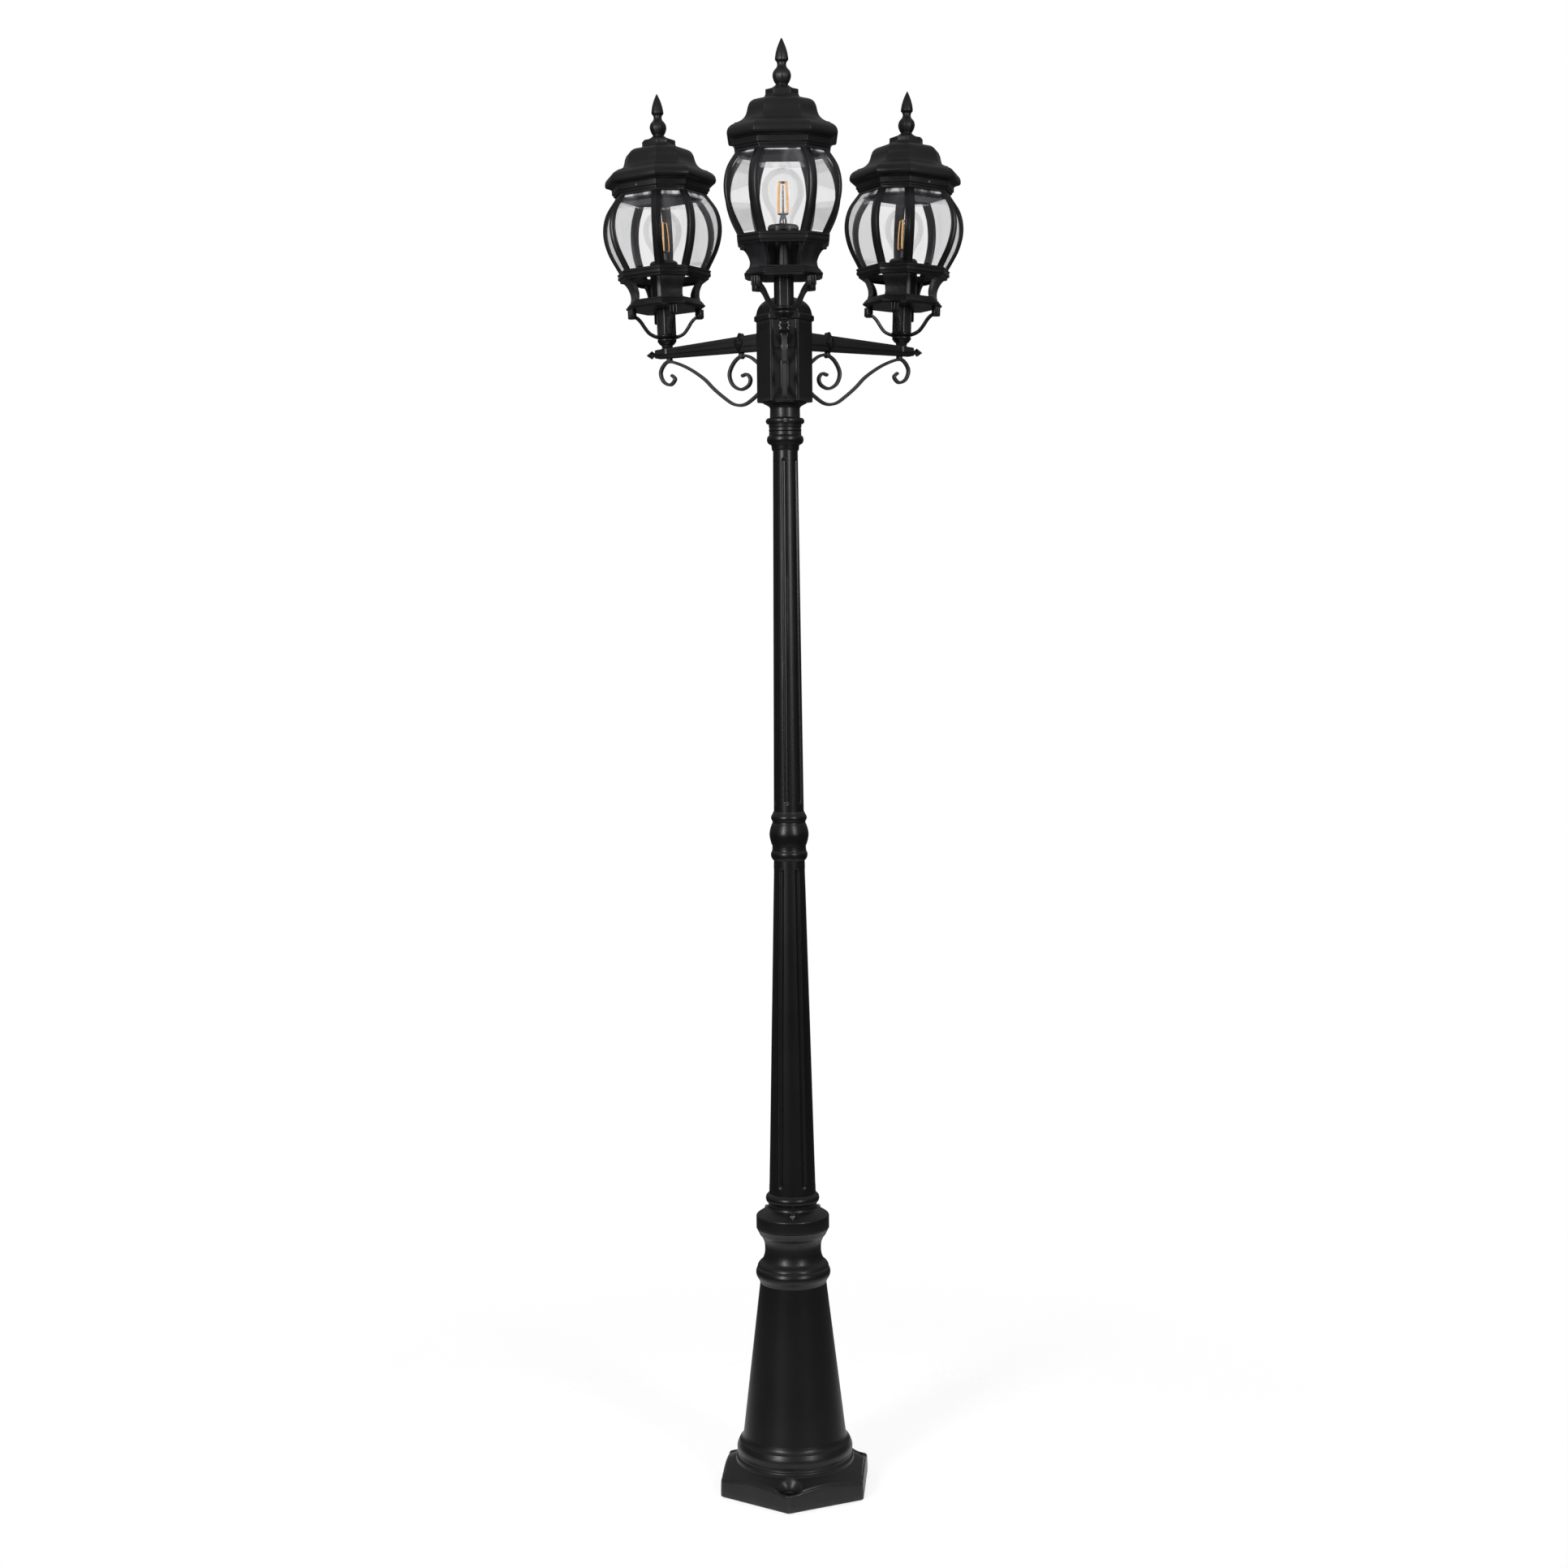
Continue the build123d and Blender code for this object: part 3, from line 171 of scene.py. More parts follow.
def flowing(points, steps=8):
    """Points of a smooth line through these ones."""
    spots = [np.array(point, float) for point in points]
    spots = [2 * spots[0] - spots[1], *spots, 2 * spots[-1] - spots[-2]]
    line = []
    for a, b, c, d in zip(spots, spots[1:], spots[2:], spots[3:]):
        for t in np.arange(steps) / steps:
            line.append(0.5 * (2 * b + (c - a) * t + (2 * a - 5 * b + 4 * c - d) * t * t
                               + (3 * b - a - 3 * c + d) * t ** 3))
    return [*line, spots[-2]]


def eased(line, size):
    """The line with each sharp corner rounded by about size."""
    rows = [line[0]]
    for before, here, after in zip(line, line[1:], line[2:]):
        back, forth = before - here, after - here
        a, b = np.linalg.norm(back), np.linalg.norm(forth)
        if math.degrees(math.acos(np.clip(-back @ forth / (a * b), -1, 1))) < 14:
            rows.append(here)
            continue
        first, last = here + back / a * min(size, 0.4 * a), here + forth / b * min(size, 0.4 * b)
        rows += [first, (first + last) / 4 + here / 2, last]
    return [*rows, line[-1]]


def profile(*runs, ease=0.8):
    """Rows of (radius, height): a run of two points is straight, and a longer one flows."""
    line = []
    for run in runs:
        part = flowing(run) if len(run) > 2 else [np.array(point, float) for point in run]
        line += part[1:] if line and np.linalg.norm(line[-1] - part[0]) < 1e-6 else part
    return eased(line, ease)


def straight(*points):
    """Straight runs that join the points."""
    return [[a, b] for a, b in zip(points, points[1:])]


def round_plan(radius, count=COLUMNS):
    """Plan of a turned row."""
    turns = np.linspace(0, 2 * math.pi, count, endpoint=False)
    return np.stack([radius * np.cos(turns), radius * np.sin(turns)], axis=1)


def closed_mesh(name, rings, ring_shaped=False):
    """A closed mesh through rings of points in millimetres, from the bottom one up."""
    rings = np.array(rings, float)
    rows, count = rings.shape[:2]
    faces = []
    for row in range(rows if ring_shaped else rows - 1):
        low, high = row * count, (row + 1) % rows * count
        for here in range(count):
            beside = (here + 1) % count
            faces.append((low + here, low + beside, high + beside, high + here))
    if not ring_shaped:
        faces.append(tuple(range(count))[::-1])
        faces.append(tuple(range((rows - 1) * count, rows * count)))
    mesh = bpy.data.meshes.new(name)
    mesh.from_pydata((rings.reshape(-1, 3) * MM).tolist(), [], faces)
    mesh.validate()
    return mesh


def skin(name, rows, plan=round_plan, ring_shaped=False):
    """A closed mesh from rows of (radius, height), each with the plan's shape."""
    return closed_mesh(name, [[(x, y, height) for x, y in plan(radius)] for radius, height in rows],
                       ring_shaped)


def piece(name, mesh):
    """A new object with this mesh, at the origin."""
    thing = bpy.data.objects.new(name, mesh)
    bpy.context.scene.collection.objects.link(thing)
    return thing


def worked(thing):
    """Apply the piece's modifiers, so that it is a plain mesh."""
    shaped = bpy.data.meshes.new_from_object(
        thing.evaluated_get(bpy.context.evaluated_depsgraph_get()))
    thing.modifiers.clear()
    thing.data = shaped
    return thing


def placed_round(mesh, radius, turn):
    """Move the mesh out from the axis by this radius, in this direction."""
    mesh.transform(Matrix.Translation((radius * math.cos(turn) * MM, radius * math.sin(turn) * MM, 0)))
    return mesh


def cut(thing, tool_mesh):
    """Cut this mesh out of the piece."""
    tool = piece("tool", tool_mesh)
    knife = thing.modifiers.new("cut", "BOOLEAN")
    knife.operation = "DIFFERENCE"
    knife.solver = "EXACT"
    knife.object = tool
    worked(thing)
    bpy.data.objects.remove(tool)
    return thing


def join(name, meshes):
    """One mesh from several."""
    points, faces = [], []
    for mesh in meshes:
        start = len(points)
        points += [tuple(vertex.co) for vertex in mesh.vertices]
        faces += [tuple(start + corner for corner in face.vertices) for face in mesh.polygons]
    whole = bpy.data.meshes.new(name)
    whole.from_pydata(points, [], faces)
    return whole


def mark_edges(mesh):
    """Note how sharply the surface turns outward at each point, for the coat's rubbed edges."""
    count = len(mesh.polygons)
    normals, centres = np.zeros(count * 3), np.zeros(count * 3)
    mesh.polygons.foreach_get("normal", normals)
    mesh.polygons.foreach_get("center", centres)
    normals, centres = normals.reshape(-1, 3), centres.reshape(-1, 3)
    sizes = np.zeros(count, int)
    mesh.polygons.foreach_get("loop_total", sizes)
    face_of = np.repeat(np.arange(count), sizes)
    edge_of = np.zeros(len(mesh.loops), int)
    mesh.loops.foreach_get("edge_index", edge_of)
    order = np.argsort(edge_of, kind="stable")
    paired = order[:len(order) // 2 * 2].reshape(-1, 2)
    ends = np.zeros(len(mesh.edges) * 2, int)
    mesh.edges.foreach_get("vertices", ends)
    ends = ends.reshape(-1, 2)
    same = edge_of[paired[:, 0]] == edge_of[paired[:, 1]]
    one, two = face_of[paired[same, 0]], face_of[paired[same, 1]]
    turn = np.arccos(np.clip((normals[one] * normals[two]).sum(1), -1, 1))
    outward = (normals[one] * (centres[two] - centres[one])).sum(1) < 0
    marks = np.zeros(len(mesh.vertices))
    for side in (0, 1):
        np.maximum.at(marks, ends[edge_of[paired[same, 0]], side], np.where(outward, turn, 0))
    attribute = mesh.attributes.new("edge", "FLOAT", "POINT")
    attribute.data.foreach_set("value", np.clip((marks - 0.12) / 0.6, 0, 1).astype(np.float32))


def settle(thing, material, body, slot, *stands_for, crease=32):
    """Finish a piece: smooth shading with crisp creases, its material and its body; the slot is not used.
    """
    mesh = thing.data
    mesh.materials.clear()
    mesh.materials.append(material)
    mesh.polygons.foreach_set("use_smooth", np.ones(len(mesh.polygons), bool))
    mesh.set_sharp_from_angle(angle=math.radians(crease))
    mark_edges(mesh)
    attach(thing, body)
    if stands_for:
        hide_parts(*stands_for)
    return thing


post_coat = powder_coat("satin_black_post", 0.0045, 0.27, 1500, dust=0.15)

PLATE_R, PLATE_T, PLATE_TURN = 127.0, 27.0, -94.8
FOOT_R, FLARE_R, FLARE_H = 92.0, 122.0, 15.0
BOLT_CIRCLE = 112.0
JOINT_Z = 407.0
turns = np.radians(np.arange(0, 360, 1.25))
corner_away = np.abs((np.degrees(turns) - PLATE_TURN + 30) % 60 - 30)
EDGE_SOFT = 7.0
soft_centre = PLATE_R - EDGE_SOFT / math.cos(math.radians(30))
soft_half = math.degrees(math.atan2(EDGE_SOFT / 2, soft_centre + EDGE_SOFT * math.cos(math.radians(30))))
away = np.radians(corner_away)
straight_side = PLATE_R * math.cos(math.radians(30)) / np.cos(np.radians(30) - away)
round_corner = soft_centre * np.cos(away) + np.sqrt(
    EDGE_SOFT ** 2 - (soft_centre * np.sin(away)).clip(0, EDGE_SOFT) ** 2)
plate_edge = np.where(corner_away < soft_half, round_corner, straight_side)


def flare(radius, turn):
    """Height of the plate's top: it rises to the foot, and dips to a flat pad round each bolt."""
    rise = FLARE_H * (np.clip(FLARE_R - radius, 0, None) / (FLARE_R - FOOT_R)) ** 1.15
    keep = np.ones_like(rise)
    for number in range(3):
        bolt = math.radians(PLATE_TURN + 120 * number)
        away = np.hypot(radius * np.cos(turn) - BOLT_CIRCLE * math.cos(bolt),
                        radius * np.sin(turn) - BOLT_CIRCLE * math.sin(bolt))
        keep = np.minimum(keep, np.clip((away - 8.5) / 13, 0, 1))
    return PLATE_T + rise * keep * keep * (3 - 2 * keep)


def plate_row(inset, height):
    """A row of the plate's side."""
    return np.stack([(plate_edge - inset) * np.cos(turns), (plate_edge - inset) * np.sin(turns),
                     np.broadcast_to(height, turns.shape)], axis=1)


rim = flare(plate_edge, turns)
base_rows = [plate_row(1.2, 0), plate_row(0, 1.4), plate_row(0, 10), plate_row(0.5, rim - 3.4),
             plate_row(0.9, rim - 1.6), plate_row(1.8, rim - 0.5), plate_row(3.2, rim)]
for share in np.linspace(0.06, 1, 26):
    radius = (plate_edge - 3.2) * (1 - share) + FOOT_R * share
    base_rows.append(np.stack([radius * np.cos(turns), radius * np.sin(turns),
                               flare(radius, turns)], axis=1))
column = profile(
    *straight((FOOT_R, 42), (91.2, 47.5), (88.4, 49.5), (88.2, 51.5)),
    [(88.2, 51.5), (89.5, 58), (89.2, 65), (85.8, 73.5)],
    [(85.8, 73.5), (84.2, 74.6)],
    [(84.2, 74.6), (81.3, 78.5), (79.4, 84)],
    [(79.4, 84), (51.2, 321)],
    [(51.2, 321), (53.6, 326.5), (56.8, 332), (57.6, 338), (56.0, 343.5)],
    [(56.0, 343.5), (54.6, 344.6)],
    [(54.6, 344.6), (54.9, 347.5), (52.6, 351.5), (47.2, 357), (44.0, 366), (43.4, 375), (44.2, 384),
     (47.6, 392), (50.8, 396)],
    *straight((50.8, 396), (52.9, 400), (56.3, JOINT_Z)))[1:]
for radius, height in column:
    base_rows.append(np.stack([radius * np.cos(turns), radius * np.sin(turns),
                               np.full(turns.shape, height)], axis=1))
base = piece("base_column", closed_mesh("base_column", base_rows))
bolt_tools = []
for number in range(3):
    bolt = math.radians(PLATE_TURN + 120 * number)
    tool = skin("hole", profile(*straight((5.5, 8), (5.5, 25.6), (7.4, 27.6), (7.4, 60)), ease=0.1),
                lambda radius: round_plan(radius, 40))
    bolt_tools.append(placed_round(tool, BOLT_CIRCLE, bolt))
cut(base, join("holes", bolt_tools))
settle(base, post_coat, "post", "black_casting", "base_casting")


# ---------------------------------------------------------------- cable gland
# Moulded nylon gland inside the base's neck that grips the supply cable. It can't be seen once
# the shaft is on, so the frame's own shape serves, in a ribbed dull plastic.
def moulded(name, colour, gloss, grain):
    """Moulded plastic with a fine spark-eroded texture."""
    material, start = new_material(name)
    fleck = start.noise(grain, 4)
    tone = start.noise(25, 2).band(0.3, 0.7)
    body = tone.blend((*colour, 1), (colour[0] * 1.6, colour[1] * 1.6, colour[2] * 1.6, 1))
    bump = start.node("ShaderNodeBump", {}, {"Strength": 0.12, "Distance": 0.0002, "Height": fleck})
    surface(start, Base_Color=body, Roughness=gloss + 0.12 * fleck, Normal=bump)
    return material


gland_nylon = moulded("gland_nylon", (0.02, 0.02, 0.021), 0.5, 1800)
for name in ("cable_gland", "terminal_block"):
    frame["nodes"][name].data.materials.clear()
    frame["nodes"][name].data.materials.append(gland_nylon)


# ---------------------------------------------------------------- shaft foot
# The cast flange that carries the fluted shaft. It has a coned top with three counterbored seats
# for the joint's cap screws, and a bead where the shaft starts.
foot_rows = profile(
    *straight((55.2, JOINT_Z + 0.2), (56.3, JOINT_Z + 1.4), (56.3, JOINT_Z + 18.4)),
    [(56.3, JOINT_Z + 18.4), (54.6, JOINT_Z + 20.6), (48, JOINT_Z + 25)],
    [(48, JOINT_Z + 25), (41.0, JOINT_Z + 29)],
    [(41.0, JOINT_Z + 29), (38.4, JOINT_Z + 30.6), (37.2, JOINT_Z + 33.5), (37.2, 443), (38.4, 446.5)],
    [(38.4, 446.5), (40.4, 449), (41.3, 452.6), (40.6, 456.6), (38.2, 459.4)],
    [(38.2, 459.4), (36.6, 461)])
foot = piece("shaft_flange", skin("shaft_flange", foot_rows))
SCREW_SEAT = JOINT_Z + 23.2
SCREW_CIRCLE = 45.0
seats = []
for number in range(3):
    turn = math.radians(-90 + 120 * number)
    seat = skin("seat", [(5.9, SCREW_SEAT), (5.9, SCREW_SEAT + 8)], lambda radius: round_plan(radius, 36))
    seats.append(placed_round(seat, SCREW_CIRCLE, turn))
cut(foot, join("seats", seats))
settle(foot, post_coat, "post", "black_casting", "shaft_foot")


# ---------------------------------------------------------------- joint cap screws
# Three bright steel socket cap screws that bolt the shaft to the base. One screw is modelled
# with its knurled head and hexagon socket, and repeated round the joint.
def bare_steel(name, colour, gloss):
    """Bright turned steel with faint turning marks and finger stains."""
    material, start = new_material(name)
    rings = start.noise(2200, 1, (1, 1, 6))
    stain = start.noise(140, 4).band(0.35, 0.7)
    body = stain.blend((*colour, 1), (colour[0] * 0.7, colour[1] * 0.69, colour[2] * 0.66, 1))
    bump = start.node("ShaderNodeBump", {}, {"Strength": 0.2, "Distance": 0.0002, "Height": rings})
    surface(start, Base_Color=body, Metallic=1.0, Roughness=gloss + 0.15 * stain, Normal=bump)
    return material


screw_steel = bare_steel("screw_steel", (0.62, 0.62, 0.63), 0.22)


def named_tree(name, inputs):
    """A Geometry Nodes tree with these named inputs: its start, their sockets and identifiers."""
    tree = bpy.data.node_groups.new(name, "GeometryNodeTree")
    tree.interface.new_socket("Geometry", in_out="INPUT", socket_type="NodeSocketGeometry")
    names = {}
    for label, kind, value in (*inputs, ("Finish", "Material", None)):
        socket = tree.interface.new_socket(label, in_out="INPUT", socket_type="NodeSocket" + kind)
        names[label] = socket.identifier
        if value is not None:
            socket.default_value = value
    tree.interface.new_socket("Geometry", in_out="OUTPUT", socket_type="NodeSocketGeometry")
    given = tree.nodes.new("NodeGroupInput")
    return Value(tree), {socket.name: Value(tree, socket) for socket in given.outputs if socket.name}, names


def finished(start, shape, given):
    """End a tree: real geometry in the piece's finish."""
    real = start.node("GeometryNodeRealizeInstances", {}, {"Geometry": shape})
    coated = start.node("GeometryNodeSetMaterial", {}, {"Geometry": real, "Material": given["Finish"]})
    start.node("NodeGroupOutput", {}, {"Geometry": coated})


def with_nodes(thing, tree, names, **values):
    """Run a tree on the piece with these inputs, and keep the result as its plain mesh."""
    modifier = thing.modifiers.new("nodes", "NODES")
    modifier.node_group = tree
    for label, value in values.items():
        modifier[names[label.replace("_", " ")]] = value
    return worked(thing)


def repeat_tree(name):
    """Geometry Nodes that repeat a piece round an upright axis."""
    start, given, names = named_tree(name, (
        ("Count", "Int", 3), ("Circle Radius", "Float", 0.0), ("First Turn", "Float", 0.0)))
    places = start.node("GeometryNodeMeshLine", {}, {"Count": given["Count"], "Offset": (0, 0, 0)})
    number = start.node("GeometryNodeInputIndex", {}, {})
    step = start.math("DIVIDE", 2 * math.pi, given["Count"])
    turn = number * step + given["First Turn"]
    spin = start.node("ShaderNodeCombineXYZ", {}, {"Z": turn})
    across = start.node("ShaderNodeCombineXYZ", {}, {
        "X": start.node("ShaderNodeMath", {"operation": "COSINE"}, {0: turn}) * given["Circle Radius"],
        "Y": start.node("ShaderNodeMath", {"operation": "SINE"}, {0: turn}) * given["Circle Radius"]})
    placed = start.node("GeometryNodeSetPosition", {}, {"Geometry": places, "Position": across})
    copies = start.node("GeometryNodeInstanceOnPoints", {}, {
        "Points": placed, "Instance": given["Geometry"],
        "Rotation": start.node("FunctionNodeEulerToRotation", {}, {0: spin})})
    finished(start, copies, given)
    return start.tree, names


repeat_round, repeat_inputs = repeat_tree("Repeat Round")


def repeated(thing, count, first, material, circle=0.0):
    """Repeat the piece's mesh count times round the upright axis, the first at this angle."""
    return with_nodes(thing, repeat_round, repeat_inputs, Count=count, Circle_Radius=circle * MM,
                      First_Turn=math.radians(first), Finish=material)


def knurled(radius):
    """Plan of a knurled head: fine flutes round the edge."""
    turns = np.linspace(0, 2 * math.pi, 96, endpoint=False)
    reach = radius - 0.14 * (np.arange(96) % 2)
    return np.stack([reach * np.cos(turns), reach * np.sin(turns)], axis=1)


def cap_screw(name, head_r, head_h, shank_r, shank_h, socket_r):
    """A socket cap screw standing on z = 0, head up, with a real hexagon socket."""
    head = skin(name, profile(
        *straight((head_r - 0.3, 0), (head_r, 0.4), (head_r, head_h - 0.6), (head_r - 0.6, head_h)),
        ease=0.2), knurled)
    shank = skin(name, [(shank_r - 0.4, -shank_h), (shank_r, -shank_h + 0.4), (shank_r, -0.002)],
                 lambda radius: round_plan(radius, 32))
    screw = piece(name, head)
    cut(screw, skin("socket", [(socket_r, head_h * 0.45), (socket_r, head_h + 2)],
                    lambda radius: round_plan(radius, 6)))
    screw.data = join(name, [screw.data, shank])
    return screw


screws = cap_screw("joint_cap_screws", 4.25, 5.0, 2.5, 29.5, 2.3)
repeated(screws, 3, -90, screw_steel, SCREW_CIRCLE)
screws.data.transform(Matrix.Translation((0, 0, SCREW_SEAT * MM)))
settle(screws, screw_steel, "post", "screw_steel", "joint_screws")


# ---------------------------------------------------------------- fluted shafts
# Two extruded and swaged aluminium tubes, tapering upward, each with six round-ended flutes.
# Geometry Nodes press the flutes into a plain tube from their number, width and depth.
def shaft_tree(name):
    """Geometry Nodes for a tapering tube with round-ended flutes."""
    start, given, names = named_tree(name, (
        ("Bottom", "Float", 0.0), ("Length", "Float", 0.5), ("Low Radius", "Float", 0.03),
        ("Top Radius", "Float", 0.02), ("Flutes", "Int", 6), ("First Flute", "Float", 0.0),
        ("Flute Radius", "Float", 0.0046), ("Flute Depth", "Float", 0.0022), ("Plain End", "Float", 0.011)))
    tree = start.tree

    def one(operation, value):
        return start.node("ShaderNodeMath", {"operation": operation}, {0: value})

    tube = start.node("GeometryNodeMeshCylinder", {}, {"Vertices": 240, "Side Segments": 190,
                                                       "Radius": 1.0, "Depth": 1.0})
    spot = start.node("ShaderNodeSeparateXYZ", {}, {
        "Vector": start.node("GeometryNodeInputPosition", {}, {})})
    across = Value(tree, spot.socket.node.outputs["Y"])
    upward = Value(tree, spot.socket.node.outputs["Z"]) + 0.5
    share = 0.5 - 0.5 * one("COSINE", upward * math.pi)
    plain_turn = start.math("ARCTAN2", across, spot)
    sector = start.math("DIVIDE", 2 * math.pi, given["Flutes"])
    place = start.math("DIVIDE", plain_turn, sector)
    nearest = one("ROUND", place)
    off = place - nearest
    off = off * (0.4 + 1.2 * one("ABSOLUTE", off))
    turn = (nearest + off) * sector + given["First Flute"]
    rise = share * given["Length"]
    radius = given["Low Radius"] + share * (given["Top Radius"] - given["Low Radius"])
    sideways = off * sector * radius
    low_end = given["Plain End"] + given["Flute Radius"]
    past_low = start.math("MAXIMUM", low_end - rise, 0.0)
    past_top = start.math("MAXIMUM", rise - (given["Length"] - low_end), 0.0)
    past = past_low + past_top
    gap = one("SQRT", start.math("MAXIMUM", given["Flute Radius"] * given["Flute Radius"]
                                 - sideways * sideways - past * past, 0.0))
    dip = start.math("MAXIMUM", gap - (given["Flute Radius"] - given["Flute Depth"]), 0.0)
    flat_spot = start.node("ShaderNodeCombineXYZ", {}, {"X": spot, "Y": across})
    from_axis = start.node("ShaderNodeVectorMath", {"operation": "LENGTH"}, {0: flat_spot}, "Value")
    reach = (radius - dip) * start.math("GREATER_THAN", from_axis, 0.5)
    moved = start.node("ShaderNodeCombineXYZ", {}, {
        "X": reach * one("COSINE", turn), "Y": reach * one("SINE", turn), "Z": rise + given["Bottom"]})
    pressed = start.node("GeometryNodeSetPosition", {}, {"Geometry": tube, "Position": moved})
    finished(start, pressed, given)
    return start.tree, names


fluting, fluting_inputs = shaft_tree("Fluted Shaft")
for name, bottom, length, low, top, first in (("lower_shaft", 461, 516, 36.0, 23.7, -60),
                                              ("upper_shaft", 1052, 546, 22.9, 18.8, -99)):
    shaft = piece(name + "_fluted", bpy.data.meshes.new(name))
    with_nodes(shaft, fluting, fluting_inputs, Bottom=bottom * MM, Length=length * MM, Low_Radius=low * MM,
               Top_Radius=top * MM, First_Flute=math.radians(first), Finish=post_coat)
    settle(shaft, post_coat, "post", "black_casting", name)


# ---------------------------------------------------------------- ball coupling
# A turned ball between two collars that sleeves the shafts together with a spigot at each end.
LOW_R, BALL_Z, UPPER_Z, UPPER_R = 23.7, 1016.75, 1052.0, 22.9
ball_rows = profile(
    [(LOW_R + 0.4, 977.1), (LOW_R + 2.4, 979)],
    [(LOW_R + 2.4, 979), (LOW_R + 4.1, 983), (LOW_R + 4.2, 988), (LOW_R + 2.4, 992)],
    *straight((LOW_R + 2.4, 992), (LOW_R + 1.9, BALL_Z - 17.5), (LOW_R + 3.4, BALL_Z - 14.5)),
    [(LOW_R + 3.4, BALL_Z - 14.5), (28.9, BALL_Z - 8), (30, BALL_Z), (28.9, BALL_Z + 8),
     (UPPER_R + 3.8, BALL_Z + 15)],
    *straight((UPPER_R + 3.8, BALL_Z + 15), (UPPER_R + 2.4, BALL_Z + 17.5),
              (UPPER_R + 2.4, BALL_Z + 20)),
    [(UPPER_R + 2.4, BALL_Z + 20), (UPPER_R + 4.4, UPPER_Z - 11), (UPPER_R + 4.2, UPPER_Z - 7.5),
     (UPPER_R + 2.6, UPPER_Z - 4.5)],
    [(UPPER_R + 2.6, UPPER_Z - 4.5), (UPPER_R + 0.6, UPPER_Z)])
settle(piece("ball_coupling", skin("ball_coupling", ball_rows)), post_coat, "post", "black_casting",
       "mid_coupling")


# ---------------------------------------------------------------- ferrule
# The turned ring that closes the top of the shaft and carries the pin on which the head turns.
TOP_R, UPPER_TOP, SWIVEL_Z = 18.8, 1598.0, 1627.0
ferrule_rows = profile(
    *straight((TOP_R + 0.4, UPPER_TOP + 0.1), (TOP_R + 1.8, UPPER_TOP + 2),
              (TOP_R + 2.4, UPPER_TOP + 8.5), (25.6, UPPER_TOP + 11)),
    [(25.6, UPPER_TOP + 11), (27.4, UPPER_TOP + 14), (27.8, UPPER_TOP + 17), (27.2, UPPER_TOP + 20.4),
     (25.6, UPPER_TOP + 22.6)],
    *straight((25.6, UPPER_TOP + 22.6), (24.4, UPPER_TOP + 23.2), (24.4, SWIVEL_Z - 0.5),
              (14.0, SWIVEL_Z - 0.4), (14.0, SWIVEL_Z + 34)),
    ease=0.6)
settle(piece("shaft_top_ferrule", skin("shaft_top_ferrule", ferrule_rows)), post_coat, "post",
       "black_casting", "shaft_ferrule")


# ---------------------------------------------------------------- head socket
# The ring-shaped casting that turns on the ferrule's pin and flares up to the hub.
BORE, HUB_Z, HUB_R = 14.05, 1670.5, 42.0
HUB_FLAT = HUB_R * math.cos(math.radians(30))
socket_rows = profile(
    *straight((BORE, SWIVEL_Z + 0.2), (24.6, SWIVEL_Z + 0.2), (24.6, SWIVEL_Z + 4.4),
              (23.6, SWIVEL_Z + 4.8), (23.6, SWIVEL_Z + 5.8), (24.8, SWIVEL_Z + 6.2),
              (24.8, SWIVEL_Z + 11), (27.2, SWIVEL_Z + 11.6)),
    [(27.2, SWIVEL_Z + 11.6), (28.9, SWIVEL_Z + 13.6), (29.2, SWIVEL_Z + 15.5), (28.9, SWIVEL_Z + 17.4),
     (27.2, SWIVEL_Z + 19.6)],
    *straight((27.2, SWIVEL_Z + 19.6), (22.9, SWIVEL_Z + 20.4), (22.6, SWIVEL_Z + 34.5)),
    [(22.6, SWIVEL_Z + 34.5), (24.2, SWIVEL_Z + 37.4), (28.6, HUB_Z - 3.4), (32.6, HUB_Z - 1.4)],
    *straight((32.6, HUB_Z - 1.4), (32.8, HUB_Z - 0.2), (BORE, HUB_Z - 0.2)),
    ease=0.5)
head_socket = piece("swivel_socket", skin("swivel_socket", socket_rows, ring_shaped=True))
drill = skin("drill", [(3.15, -40), (3.15, -18)], lambda radius: round_plan(radius, 40))
drill.transform(Matrix.Translation((0, 0, (SWIVEL_Z + 15.5) * MM)) @ Matrix.Rotation(math.pi / 2, 4, "X")
                @ Matrix.Scale(-1, 4, (0, 0, 1)))
drill.flip_normals()
cut(head_socket, drill)
head_coat = powder_coat("satin_black_head", 0.0065, 0.29, 1700)
settle(head_socket, head_coat, "head", "black_casting", "head_socket")


# ---------------------------------------------------------------- head set screw
# A stainless grub screw with a hexagon socket that clamps the head once it faces the right way.
grub = piece("head_grub_screw", skin("grub", profile(
    *straight((2.6, 0), (3.0, 0.5), (3.0, 13.6), (2.5, 14.2)),
    ease=0.2),
                                     lambda radius: round_plan(radius, 48)))
cut(grub, skin("socket", [(1.7, 11.5), (1.7, 16)], lambda radius: round_plan(radius, 6)))
grub.data.transform(Matrix.Translation((0, -(BORE + 0.3) * MM, (SWIVEL_Z + 15.5) * MM))
                    @ Matrix.Rotation(math.pi / 2, 4, "X"))
settle(grub, screw_steel, "head", "screw_steel", "head_set_screw")


# ---------------------------------------------------------------- hub body
# Hexagonal cast box that the arms bolt to: each arm sits in a shallow recess between two raised
# strips, and the plain sides between them are flat.
HUB_TOP = 1790.5
STRIP, RECESS = 3.6, 1.7


